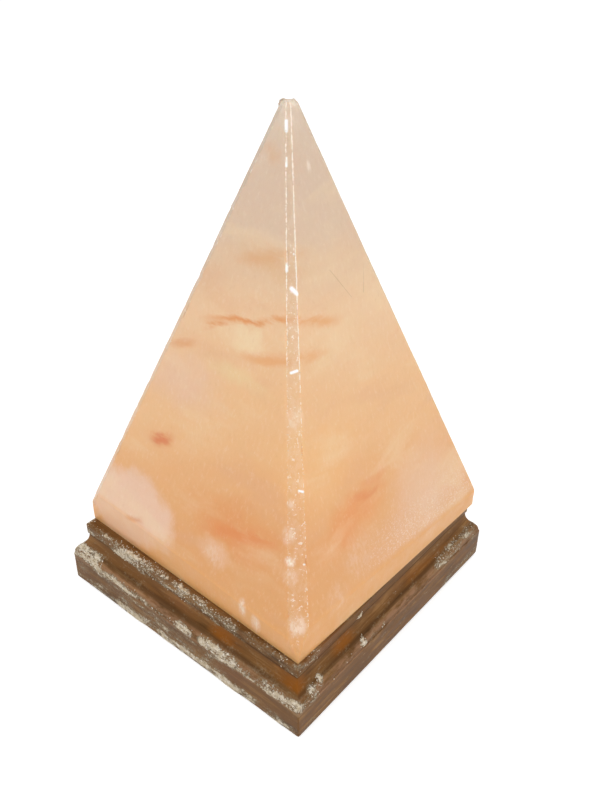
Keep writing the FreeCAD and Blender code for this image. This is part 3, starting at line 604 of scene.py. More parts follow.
    def whitened(self, work: ShaderWork) -> Socket:
        """Tell how white the bruised salt is: frosted, chipped arrises with painted highlight along them, facets,
        scuffs and a speckled zone.
        """
        # Frost and painted highlight: white dotted lines along the arrises, standing in for glints off the ground
        # edges as well.
        arris = work.amount("arris")
        chips = work.plus(arris, work.wave(2.2, 1.1, 4, (1, 1, 1.6), 0.7))
        white = work.times(work.step(chips, 0.42, 0.62), work.step(arris, 0.12, 0.4))
        streaks = work.step(work.noise(2.2, 6, (1, 1, 2.5), 0.72, shift=5), 0.42, 0.60)
        spots = work.step(work.noise(0.8, 3, roughness=0.7, shift=8), 0.54, 0.64)
        flakes = work.step(work.noise(1.5, 4, roughness=0.72, shift=12), 0.585, 0.64)
        flakes = work.times(flakes, work.times(work.step(work.along(UP), 205, 190), 0.75))
        facet = work.times(work.amount("facet"), work.larger(flakes, work.step(streaks, 0, 1, 0.0, 0.10)))
        bruise = work.times(work.amount("bruise"), work.plus(work.times(spots, 0.45), 0.12))
        white = work.larger(work.larger(white, facet), bruise)
        rough = work.plus(work.times(streaks, 0.7), 0.3)
        for scuff in self.scuffs:
            near = work.near(scuff.centre, scuff.radius, scuff.stretch)
            white = work.larger(white, work.times(near, work.times(rough, scuff.share)))
        return white


@dataclass(frozen=True)
class WoodFinish:
    """Dark varnished wood, rubbed on its high edges and dusted with salt, with painted gloss highlights in the cove,
    a painted highlight along the bead and painted shade in its recessed lines.
    """

    name: str = "varnished_wood"
    dark: str = "4E3416"
    middle: str = "704C27"
    light: str = "946E42"
    # The orange tint and its places are painted gloss highlight in the cove; the pale pinkish tint is wear and
    # painted highlight on the bead; the darkest tint is painted shade in the recessed lines.
    cove_highlight: str = "8A4E08"
    worn_highlight: str = "A67E60"
    groove_shade: str = "3A240E"
    dust: tuple[str, str, str] = ("AA9678", "D2C3A9", "F0E8DB")
    cove_highlight_spots: tuple[Place, ...] = ((24, -70, 26), (66, -70, 26), (70, -36, 26))

    def make(self) -> Material:
        """Wire the finish."""
        work = ShaderWork(self.name)
        grain = self.grained(work)
        rings = work.noise(9, 3, (3, 3, 1), 0.5, 0.5, shift=4)
        tint = work.ramp(work.plus(work.times(grain, 0.65), work.times(rings, 0.35)),
                         [(0.34, self.dark), (0.50, self.middle), (0.66, self.light)])
        tint = work.lay(tint, "7E4E34", work.step(work.noise(21, 3, (2, 2, 1), shift=1), 0.48, 0.66, 0, 0.3))
        # Painted highlight: orange gloss patches laid in the cove, at random and at given places.
        cove_highlight = work.step(work.noise(17, 3, (2.4, 2.4, 0.8), shift=7), 0.48, 0.66, 0.1, 0.6)
        for place in self.cove_highlight_spots:
            cove_highlight = work.larger(cove_highlight, work.near(place, 11, (1.1, 1.1, 0.7)))
        tint = work.lay(tint, self.cove_highlight, work.times(cove_highlight, work.times(work.amount("hollow"), 0.8)))
        # Wear and painted highlight: a pale pinkish band laid along the bead and the edge of the step.
        rubbed = work.step(work.noise(2.6, 6, (3, 3, 1), 0.7, shift=2), 0.36, 0.60)
        tint = work.lay(tint, self.worn_highlight, work.times(work.times(work.amount("wear"), rubbed), 0.8))
        # Painted shade: darker lines laid along the recessed lines of the moulding.
        tint = work.lay(tint, self.groove_shade, work.times(work.amount("groove_shade"), 0.75))
        cover, thin_dust_and_sheen = self.dusty(work)
        powder = work.ramp(work.noise(1.8, 5, roughness=0.7, shift=15), list(zip((0.32, 0.5, 0.66), self.dust)))
        # Thin dust and painted sheen: a greyish layer where the dust thins out, standing in for the wrapping film's
        # sheen too.
        tint = work.lay(tint, "9A8466", work.times(thin_dust_and_sheen, 0.40))
        tint = work.lay(tint, powder, work.times(cover, 0.90))
        work.set(base_color=tint, specular_ior_level=0.10)
        work.set(roughness=work.plus(work.step(grain, 0.3, 0.7, 0.38, 0.54), work.times(cover, 0.35)))
        work.bump(grain, 0.12)
        work.bump(cover, 0.25)
        return work.material

    @staticmethod
    def grained(work: ShaderWork) -> Socket:
        """Lay fine grain that runs along whichever side of the base it is on."""
        across, along = (work.number("ABSOLUTE", work.along(way)) for way in ((1, 0, 0), (0, 1, 0)))
        side = work.step(work.minus(across, along), -0.5, 0.5)
        first, second = (work.noise(1.2, 6, stretch, 0.66, 0.3) for stretch in ((24, 1, 2.6), (1, 24, 2.6)))
        return work.plus(first, work.times(side, work.minus(second, first)))

    @staticmethod
    def dusty(work: ShaderWork) -> tuple[Socket, Socket]:
        """Tell where crusted dust lies on the wood, and where a thin layer lies that is partly dust and partly
        painted film sheen.
        """
        coarse = work.wave(1.9, 3.2, 5, (2.6, 2.6, 1), 0.66, shift=11)
        fine = work.wave(1.5, 0.9, 5, (1.3, 1.3, 1), 0.74, shift=13)
        dusty = work.plus(work.amount("dust"), work.plus(coarse, fine))
        return work.step(dusty, 0.56, 0.76), work.step(dusty, 0.22, 0.60)


@dataclass(frozen=True)
class GritFinish:
    """Loose salt dust and crumbs."""

    name: str = "salt_grit"

    def make(self) -> Material:
        """Wire the finish."""
        work = ShaderWork(self.name)
        work.set(base_color=work.ramp(work.noise(2.5, 3), [(0.3, "BCAD95"), (0.5, "DACDB8"), (0.7, "F0E8DB")]))
        work.set(roughness=0.62, subsurface_weight=0.1, subsurface_radius=(1.0, 0.8, 0.6),
                 subsurface_scale=0.001)
        work.bump(work.noise(0.4, 2), 0.05)
        return work.material


@dataclass(frozen=True)
class PlainFinish:
    """A metal, plastic, ceramic, glass or felt with a fine grain and slight soiling."""

    name: str
    tint: str
    shade: str
    roughness: float
    metallic: float = 0.0
    grain: float = 0.8
    depth: float = 0.02
    stretch: Place = (1, 1, 1)
    transmission: float = 0.0
    sheen: float = 0.0

    def make(self) -> Material:
        """Wire the finish."""
        work = ShaderWork(self.name)
        fine = work.noise(self.grain, 4, self.stretch, 0.6)
        soil = work.step(work.noise(7, 3, shift=2), 0.45, 0.75, 0, 0.5)
        tint = work.ramp(fine, [(0.3, self.shade), (0.7, self.tint)])
        work.set(base_color=work.lay(tint, self.shade, soil))
        work.set(roughness=work.step(fine, 0.3, 0.7, self.roughness, min(1.0, self.roughness + 0.12)))
        work.set(metallic=self.metallic, transmission_weight=self.transmission, sheen_weight=self.sheen)
        work.bump(fine, self.depth)
        return work.material


FRAME_FINISHES: dict[str, PlainFinish] = {
    "felt": PlainFinish("pressed_felt", "4A4037", "2E2721", 0.9, grain=0.5, depth=0.15, sheen=0.3),
    "zinc_steel": PlainFinish("zinc_steel", "B9BAB6", "8E8F8C", 0.34, 1.0, 0.6),
    "plug_plastic": PlainFinish("grey_nylon", "A9A9A4", "8F8F8A", 0.5),
    "holder_plastic": PlainFinish("black_plastic", "2A2A2C", "1B1B1D", 0.36, grain=0.5, depth=0.01),
    "ceramic": PlainFinish("white_ceramic", "EEEAE0", "DDD7CA", 0.6, grain=0.7, depth=0.03),
    "brass": PlainFinish("bright_brass", "DDB968", "B08D45", 0.26, 1.0, 0.9),
    "spring_steel": PlainFinish("spring_steel", "A2A3A6", "7A7B7E", 0.30, 1.0, 0.5, 0.01, (1, 1, 14)),
    "bulb_glass": PlainFinish("clear_glass", "FBFCFC", "F3F5F5", 0.02, grain=6, depth=0.01, transmission=1.0),
    "vitrite": PlainFinish("black_insulator", "202023", "121214", 0.12),
    "solder": PlainFinish("tin_solder", "C2C2C0", "9B9B99", 0.38, 1.0, 0.8, 0.05),
    "nickel_wire": PlainFinish("nickel_wire", "B5B0A6", "8D897F", 0.3, 1.0, 0.3, 0.01),
    "tungsten": PlainFinish("tungsten", "6E6E70", "4C4C4E", 0.45, 1.0, 0.2, 0.01),
}


# ---------------------------------------------------------------- pieces


@dataclass
class SaltBlock:
    """The ground pyramid, with facets along its slanted edges and a bore for the bulb."""

    foot: float = 36.2
    half: float = 66.1
    height: float = 203.7
    tip_half: float = 3.65
    tip_bevel: float = 1.1
    facets: tuple[float, ...] = (3.5, 6.0, 6.0)
    front_facet: tuple[float, float, float] = (1.9, 8.1, 2.8)
    turn: float = -1.5
    shift: tuple[float, float] = (0.8, 3.2)
    bands: tuple[tuple[float, float], ...] = ((16.7, 7.8), (16, 16), (14, 14), (18, 10.1))
    corner_radius: float = 0.9
    arris: float = 0.6
    arris_strength: tuple[float, ...] = (0.45, 0.45, 0.45, 0.45, 0.45, 0.45, 0.74, 0.95)
    cavity_radius: float = 22.5
    cavity_depth: float = 108.0
    cavity_point: float = 9.0
    plug_radius: float = 4.02
    plug_depth: float = 22.0
    plug_place: float = 44.0
    across_face: int = 66
    across_facet: int = 5
    row_step: float = 1.6
    fine_below: float = 24.0
    skin_inset: float = 0.25

    def planes(self) -> list[Plane]:
        """Work out the slanted planes and the facets between them, in order round the block."""
        signs = ((1, -1), (1, 1), (-1, 1), (-1, -1))
        slants = []
        for number, (start_band, end_band) in enumerate(self.bands):
            start, end = np.array(signs[number]), np.array(signs[(number + 1) % 4])
            a = np.array([*start * self.half, start_band])
            b = np.array([*end * self.half, end_band])
            top = np.array([*(start + end) * self.tip_half / 2, self.height])
            normal = np.cross(b - a, top - a)
            normal /= np.linalg.norm(normal)
            if normal[:2] @ (start + end) < 0:
                normal = -normal
            slants.append((normal, float(normal @ a)))
        result = []
        for slant, other, width in zip(slants, slants[1:], self.facets):
            result += [slant, self.even_facet(slant, other, width)]
        return result + [slants[-1], self.uneven_facet(slants[-1], slants[0])]

    @staticmethod
    def edge_point(slant: Plane, other: Plane, level: float) -> Array:
        """Find the point at a level where two slanted planes meet."""
        return np.linalg.solve(np.array([slant[0], other[0], (0, 0, 1)]), (slant[1], other[1], level))

    def even_facet(self, slant: Plane, other: Plane, width: float) -> Plane:
        """Find the plane of a flat of an even width along the edge of two slanted planes."""
        normal = slant[0] + other[0]
        normal /= np.linalg.norm(normal)
        half_angle = math.acos(np.clip(slant[0] @ other[0], -1, 1)) / 2
        edge = self.edge_point(slant, other, self.height)
        return normal, float(normal @ edge) - width / 2 * math.tan(half_angle)

    def uneven_facet(self, left: Plane, right: Plane) -> Plane:
        """Find the plane of the front edge's flat, which widens towards the foot."""
        at_top, at_foot, aside = self.front_facet
        along_left, along_right = (-left[0][1], left[0][0], 0), (-right[0][1], right[0][0], 0)
        along_left, along_right = (np.array(way) / np.linalg.norm(way) for way in (along_left, along_right))
        first = self.edge_point(left, right, self.height) - along_left * at_top
        second = self.edge_point(left, right, 0) - along_left * at_foot
        third = self.edge_point(left, right, self.height / 2) + along_right * aside
        normal = np.cross(second - first, third - first)
        normal /= np.linalg.norm(normal)
        if normal @ left[0] < 0:
            normal = -normal
        return normal, float(normal @ first)

    def corners(self, levels: Array) -> Array:
        """Find the eight corners of the block's section at each level, before the upright sides."""
        planes = self.planes()
        found = []
        for number, (normal, offset) in enumerate(planes):
            other, other_offset = planes[(number + 1) % len(planes)]
            bottom = normal[0] * other[1] - normal[1] * other[0]
            a, b = offset - normal[2] * levels, other_offset - other[2] * levels
            found.append(np.stack([(a * other[1] - b * normal[1]) / bottom,
                                   (normal[0] * b - other[0] * a) / bottom], axis=1))
        return np.stack(found, axis=1)

    def rings(self, levels: Array) -> tuple[Array, ...]:
        """Lay points round the block at each level.

        Args:
            levels: heights above the block's underside.

        Returns:
            The points, and for each column how near an arris it is, whether it lies on a facet,
            and how strongly its arris is chipped and whitened, the whitening partly painted highlight.
        """
        corners = self.corners(levels)
        columns, edge_share, facet_share, chipped = [], [], [], []
        for side in range(8):
            start, end = corners[:, side - 1], corners[:, side]
            length = np.linalg.norm(end - start, axis=1)[:, None]
            margin = self.arris / length
            count = self.across_facet if side % 2 else self.across_face
            for share in np.linspace(0, 1, count):
                columns.append(start + (end - start) * (margin + (1 - 2 * margin) * share))
                edge_share.append(0.5 if share in (0, 1) else 0.0)
                facet_share.append(float(side % 2))
                chipped.append(0.0)
            columns.append(end)
            edge_share.append(1.0)
            facet_share.append(0.5)
            chipped.append(self.arris_strength[side])
        flat = np.stack(columns, axis=1)
        arris = np.array(edge_share) == 1.0
        beside = 0.5 * (np.roll(flat, 1, axis=1) + np.roll(flat, -1, axis=1))
        flat[:, arris] = 0.6 * beside[:, arris] + 0.4 * flat[:, arris]
        inner = np.clip(flat, -(self.half - self.corner_radius), self.half - self.corner_radius)
        out = flat - inner
        far = np.linalg.norm(out, axis=2, keepdims=True)
        flat = np.where(far > self.corner_radius, inner + out / np.maximum(far, 1e-9) * self.corner_radius, flat)
        level_grid = np.repeat(levels[:, None], flat.shape[1], axis=1)[..., None]
        points = np.concatenate([flat, level_grid], axis=2)
        self.sharpen_band(points, (far > self.corner_radius)[..., 0])
        return points, np.array(edge_share), np.array(facet_share), np.array(chipped)

    @staticmethod
    def sharpen_band(points: Array, upright: Array) -> None:
        """Move the last slanted point of each column to where the upright band starts."""
        last_slanted = np.argmax(upright, axis=0) - 1
        for column, row in enumerate(last_slanted):
            if 1 < row < len(points) - 2:
                above, here, below = points[row - 1, column], points[row, column], points[row + 1, column]
                slope = (here - above) / (here[2] - above[2])
                axis = int(np.argmax(np.abs(below[:2])))
                if abs(slope[axis]) > 1e-6:
                    level = here[2] + (below[axis] - here[axis]) / slope[axis]
                    if below[2] < level < here[2]:
                        points[row, column] = here + slope * (level - here[2])

    def outside(self) -> tuple[Array, dict[str, Array]]:
        """Lay the rows of the block's outside in the frame, with its wear, and the amounts on them."""
        levels = np.concatenate([[self.height, self.height - self.tip_bevel],
                                 np.arange(self.height - 2.4, self.fine_below, -self.row_step),
                                 np.arange(self.fine_below - 0.4, 0.6, -self.row_step / 2), [0.4, 0]])
        points, edge, facet, chipped = self.rings(levels)
        points[0, :, :2] *= (self.tip_half - self.tip_bevel) / self.tip_half
        along_row = np.roll(points, -1, axis=1) - np.roll(points, 1, axis=1)
        normals = np.cross(along_row, np.gradient(points, axis=0))
        normals /= np.maximum(np.linalg.norm(normals, axis=2, keepdims=True), 1e-9)
        if (normals[:, 0, :2] * points[:, 0, :2]).sum() < 0:
            normals = -normals
        noise = LatticeNoise(11)
        flat = points.reshape(-1, 3)
        wave = 0.22 * noise.at(flat, 34, 2) + 0.05 * noise.at(flat, 6, 2)
        chips = np.maximum(0, noise.at(flat * (1, 1, 0.8), 2.6, 2) - 0.12) * 1.5
        nicks = np.maximum(0, noise.at(flat + 50, 17) - 0.5) * 3.0
        edge_grid = np.broadcast_to(edge, points.shape[:2]).ravel()
        drop = -self.skin_inset + (wave - edge_grid * (chips + nicks)) * smooth_step(flat[:, 2], 0, 3)
        drop = np.where(flat[:, 2] > self.height - 1.5, np.minimum(drop, 0), drop)
        points = (flat + normals.reshape(-1, 3) * drop[:, None]).reshape(points.shape)
        points[..., 2] = np.clip(points[..., 2], 0, self.height)
        points[-1, :, 2] = 0
        level = levels[:, None]
        out = np.abs(points[..., :2]).max(2)
        upright = smooth_step(out, self.half - 0.9, self.half - 0.5)
        above = (self.half - out) / (self.half - self.tip_half) * (self.height - 12)
        right = smooth_step(points[..., 0] - np.abs(points[..., 1]), -2, 2)
        right = right * smooth_step(points[..., 1], -45, 15)
        whole = np.ones_like(out)
        crisp = (0.5 + 0.5 * smooth_step(level, 90, 140)) * smooth_step(level, 6, 20)
        amounts = {
            "arris": chipped * crisp * whole,
            "facet": facet * smooth_step(level, 4, 16) * whole,
            "bruise": right * smooth_step(above, 2, 5) * (1 - smooth_step(above, 8, 30)),
            "band": upright}
        return self.into_frame(points), amounts

    def into_frame(self, points: Array) -> Array:
        """Turn, shift and lift points of the block to its place on the base."""
        turn = math.radians(self.turn)
        spin = np.array([[math.cos(turn), -math.sin(turn), 0], [math.sin(turn), math.cos(turn), 0], [0, 0, 1]])
        return points @ spin.T + (*self.shift, self.foot)

    def build(self, finish: Material) -> Item:
        """Make the block, cut it for the wall plugs and put it on the lamp."""
        outer, amounts = self.outside()
        rim = outer[-1]
        angles = np.arctan2(rim[:, 1], rim[:, 0])
        circle = np.stack([np.cos(angles), np.sin(angles)], axis=1) * self.cavity_radius
        rows = [outer]
        for share in np.linspace(0, 1, 10)[1:]:
            ring = rim[:, :2] * (1 - share) + circle * share
            rows.append(np.column_stack([ring, np.full(len(ring), self.foot)])[None])
        for level in np.linspace(0, self.cavity_depth, 34)[1:]:
            rows.append(np.column_stack([circle, np.full(len(circle), self.foot + level)])[None])
        top = self.foot + self.cavity_depth
        for share in (0.3, 0.6, 0.9):
            rows.append(np.column_stack([circle * (1 - share),
                                         np.full(len(circle), top + self.cavity_point * share)])[None])
        tip = self.into_frame(np.array([[0, 0, self.height]]))[0]
        item = closed_rows("salt_block", np.concatenate(rows), tuple(tip), (0, 0, top + self.cavity_point))
        plug = [(self.plug_radius, self.foot - 1), (self.plug_radius, self.foot + self.plug_depth)]
        plugs = [turned("plug", plug, x * self.plug_place, y * self.plug_place, 32)
                 for x, y in itertools.product((-1, 1), repeat=2)]
        cut_away(item, [joined("plug_seats", plugs)])
        self.keep_amounts(item, outer, amounts)
        shade_by_angle(item, 16)
        dress(item, finish)
        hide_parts("salt_pyramid")
        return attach(item, Body.LAMP.value)

    @staticmethod
    def keep_amounts(item: Item, outer: Array, amounts: dict[str, Array]) -> None:
        """Store the amounts of the laid points at the finished mesh's nearest points."""
        flat = outer.reshape(-1, 3)
        tree = KDTree(len(flat))
        for number, point in enumerate(flat):
            tree.insert(point, number)
        tree.balance()
        points, _ = vertices_of(item.data)
        found = [tree.find(point) for point in points]
        nearest = np.array([number for _, number, _ in found])
        laid = np.array([far < 0.3 for _, _, far in found])
        for name, values in amounts.items():
            keep_amount(item.data, name, np.where(laid, values.ravel()[nearest], 0.0))


@dataclass
class MouldedBase:
    """The square wooden base: a slab, a bead, a cove and a fillet, bored and channelled."""

    low: float = 1.0
    top: float = 36.2
    half: float = 72.5
    step: float = 17.0
    bead_top: float = 21.7
    cove_top: float = 30.5
    bead_in: float = 0.6
    bead_lean: float = 1.8
    ledge_half: float = 66.6
    quirk: float = 0.6
    corner_radius: float = 0.8
    crust_room: float = 0.15
    across_side: int = 96
    bore_radius: float = 21.5
    channel_half: float = 5.5
    channel_top: float = 10.0
    sink_radius: float = 5.0
    sink_depth: float = 8.0
    hole_radius: float = 2.3
    screw_place: float = 44.0
    foot_radius: float = 8.0
    foot_sink: float = 1.5
    foot_place: float = 57.5

    def profile(self) -> Array:
        """Trace the moulding from the slab's foot to the ledge, as half widths and levels."""
        def arc(start: tuple[float, float], end: tuple[float, float], bulge: float, count: int) -> list:
            """Bend a run sideways by a bulge, positive outwards."""
            a, b = np.array(start), np.array(end)
            across = np.array([(b - a)[1], -(b - a)[0]]) / np.linalg.norm(b - a)
            return [tuple(a + (b - a) * share + across * bulge * 4 * share * (1 - share))
                    for share in np.linspace(0, 1, count)]
        half, bead = self.half - self.crust_room, self.half - self.bead_in
        cove_in, cove_out = self.ledge_half - self.quirk, self.half - self.bead_in - self.bead_lean
        runs = arc((half - 0.5, self.low), (half, self.low + 0.5), 0.14, 4)
        runs += arc((half, self.low + 1.2), (half, self.step - 0.5), 0, 11)
        runs += [(half - 0.1, self.step - 0.15), (half - 0.3, self.step), (bead, self.step + 0.05)]
        runs += arc((bead, self.step + 0.4), (cove_out + 0.1, self.bead_top - 0.3), 0.42, 9)
        runs += [(cove_out, self.bead_top)]
        runs += arc((cove_out - 0.5, self.bead_top + 0.35), (cove_in, self.cove_top - 0.2), -0.95, 12)
        runs += [(cove_in + 0.05, self.cove_top), (self.ledge_half - 0.2, self.cove_top + 0.05)]
        runs += arc((self.ledge_half, self.cove_top + 0.3), (self.ledge_half, self.top - 0.8), 0, 6)
        runs += arc((self.ledge_half - 0.1, self.top - 0.35), (self.ledge_half - 0.8, self.top), 0.1, 4)
        runs += [(half, self.top) for half in np.linspace(self.ledge_half - 1.6, self.ledge_half - 9, 8)]
        return np.array(runs)

    def ring(self, half: float, level: float) -> Array:
        """Lay points round a square with slightly rounded corners."""
        radius = min(self.corner_radius, half / 3)
        points = []
        for quarter in range(4):
            turn = Matrix.Rotation(quarter * math.pi / 2, 2)
            for share in np.linspace(-1, 1, self.across_side):
                points.append(turn @ Vector((half, share * (half - radius))))
            for angle in (22.5, 45.0, 67.5):
                a = math.radians(angle)
                points.append(turn @ Vector((half - radius + radius * math.cos(a),
                                             half - radius + radius * math.sin(a))))
        return np.array([(point.x, point.y, level) for point in points])

    def build(self, finish: Material, dust: "SaltDust") -> Item:
        """Make the moulded block, cut its bore, channel and seats, and put it on the lamp."""
        rows = np.stack([self.ring(half, level) for half, level in self.profile()])
        item = closed_rows("moulded_base", rows, (0, 0, self.low), (0, 0, self.top))
        points, normals = vertices_of(item.data)
        noise = LatticeNoise(23)
        side = np.clip((np.abs(points[:, :2]).max(1) - 60) / 4, 0, 1)
        wear = 0.10 * noise.at(points * (0.35, 0.35, 1), 7, 2) - 0.08
        crust = dust.thickness(points, normals)
        limit = self.half - 0.02 - np.abs(points[:, :2]).max(1)
        move = np.minimum(side * (wear + crust), np.maximum(limit, 0) / 0.75)
        below = points[:, 2] < self.low + 0.01
        points = points + normals * np.where(below, 0, move)[:, None]
        points[:, :2] = np.clip(points[:, :2], -self.half, self.half)
        points[:, 2] = np.minimum(points[:, 2], self.top)
        move_vertices(item.data, points)
        seats = []
        under, shoulder = self.low - 1, self.low + self.sink_depth
        sink = [(self.sink_radius, under), (self.sink_radius, shoulder), (self.hole_radius, shoulder),
                (self.hole_radius, self.top + 1)]
        foot_seat = [(self.foot_radius, under), (self.foot_radius, self.low + self.foot_sink)]
        for x, y in itertools.product((-1, 1), repeat=2):
            seats.append(turned("sink", sink, x * self.screw_place, y * self.screw_place))
            seats.append(turned("foot_seat", foot_seat, x * self.foot_place, y * self.foot_place))
        bore = turned("bore", [(self.bore_radius, under), (self.bore_radius, self.top + 1)], 0, 0, 96)
        channel = block("channel", (-self.channel_half, 0, under),
                        (self.channel_half, self.half + 2, self.channel_top))
        cut_away(item, [bore, channel, joined("seats", seats)])
        self.keep_amounts(item, dust)
        shade_by_angle(item, 40)
        dress(item, finish)
        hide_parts("wooden_base")
        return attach(item, Body.LAMP.value)

    def keep_amounts(self, item: Item, dust: "SaltDust") -> None:
        """Store where the wood is rubbed and takes a painted highlight, where the cove takes painted highlights,
        where recessed lines take painted shade, and where it is dusty.
        """
        points, normals = vertices_of(item.data)
        level, out = points[:, 2], np.abs(points[:, :2]).max(1)
        shown = smooth_step(out, 62, 66)
        lines = {
            # The first set is wear and painted highlight along the bead and the edge of the step.
            "wear": ((self.step, 1.2, 1.0), (self.bead_top - 2.0, 3.0, 0.8)),
            # The second set is painted shade along the recessed lines of the moulding.
            "groove_shade": ((self.cove_top - 0.6, 1.3, 1.0), (self.step + 0.3, 0.8, 0.6), (self.bead_top + 0.8, 1.5, 0.7))}
        for name, runs in lines.items():
            near = [share * (1 - smooth_step(np.abs(level - target), 0, width)) for target, width, share in runs]
            keep_amount(item.data, name, shown * np.maximum.reduce(near))
        # The cove, where the painted gloss highlights are laid.
        hollow = smooth_step(level, self.bead_top, self.bead_top + 2)
        hollow = hollow * (1 - smooth_step(level, self.cove_top - 2, self.cove_top + 1))
        keep_amount(item.data, "hollow", shown * hollow)
        keep_amount(item.data, "dust", shown * dust.amount(points, normals))


@dataclass(frozen=True)
class DustPatch:
    """A place on the wood where salt has gathered: a box with soft ends, and how much."""

    low: Place
    high: Place
    share: float
    soft: float = 6.0


@dataclass(frozen=True)
class SaltDust:
    """Salt dust and crust on the wood."""

    patches: tuple[DustPatch, ...] = made(DustPatch, (
        ((-80, -80, 16), (-52, -60, 24), 0.62, 6), ((-57, -80, 15), (-3, -60, 19.5), 0.50, 2.5),
        ((-3, -80, 15.5), (10, -60, 20.5), 0.66, 2.5), ((12, -80, 15.5), (38, -60, 21.5), 0.70, 3.5),
        ((36, -80, 15), (80, -60, 21), 0.52, 2.5), ((-16, -80, -4), (50, -60, 6.5), 0.88, 4),
        ((-80, -80, -4), (-16, -60, 8), 0.62, 5), ((48, -80, -4), (80, -60, 6), 0.46, 4),
        ((-80, -80, 6), (30, -60, 17), 0.42, 3), ((-80, -80, 30), (-50, -60, 42), 0.46, 3),
        ((-50, -80, 28), (34, -60, 42), 0.56, 4), ((34, -80, 30), (80, -60, 42), 0.36, 3),
        ((64, -80, 15), (80, -68, 22), 0.55, 2), ((60, -64, 16.7), (80, -58, 22.7), 0.72, 1.5),
        ((60, -57, 18.7), (80, -54, 23.7), 0.85, 1.0), ((60, -54, 16), (80, -34, 20.7), 0.48, 2),
        ((60, -27.5, 17.5), (80, -24.5, 22), 1.3, 0.7), ((60, -12, 18), (80, -10.5, 20), 1.2, 0.7),
        ((60, -25.5, 30), (80, -22.5, 33), 1.3, 0.7), ((60, -75, 31), (80, -50, 42), 0.40, 3),
        ((60, 30, 16), (80, 80, 24), 0.42, 4), ((60, 40, -4), (80, 80, 8), 0.46, 4),
        ((-80, -80, 30), (-60, 80, 42), 0.42, 3), ((-80, -80, 15), (-60, 80, 22), 0.42, 3),
        ((-80, 60, 15), (80, 80, 22), 0.40, 3), ((-80, 60, 30), (80, 80, 42), 0.40, 3)))
    noise: LatticeNoise = LatticeNoise(5)

    def amount(self, points: Array, normals: Array) -> Array:
        """Tell how dusty each point is, from 0 to about 1."""
        total = np.full(len(points), 0.08)
        for patch in self.patches:
            share = np.full(len(points), patch.share)
            for axis in range(3):
                soft = patch.soft if axis < 2 else min(patch.soft, 2.0)
                share *= smooth_step(points[:, axis], patch.low[axis] - soft, patch.low[axis] + soft)
                share *= 1 - smooth_step(points[:, axis], patch.high[axis] - soft, patch.high[axis] + soft)
            total = np.maximum(total, share)
        rough = self.noise.at(points * (0.6, 0.6, 1), 9, 3)
        return np.clip(total * (1 + 0.9 * rough) + 0.10 * np.maximum(normals[:, 2], 0), 0, 1)

    def thickness(self, points: Array, normals: Array) -> Array:
        """Tell how far the crust stands out at each point, in millimetres."""
        thick = smooth_step(self.amount(points, normals), 0.45, 1.0)
        return thick * (0.35 + 0.35 * self.noise.at(points, 2.5, 2))


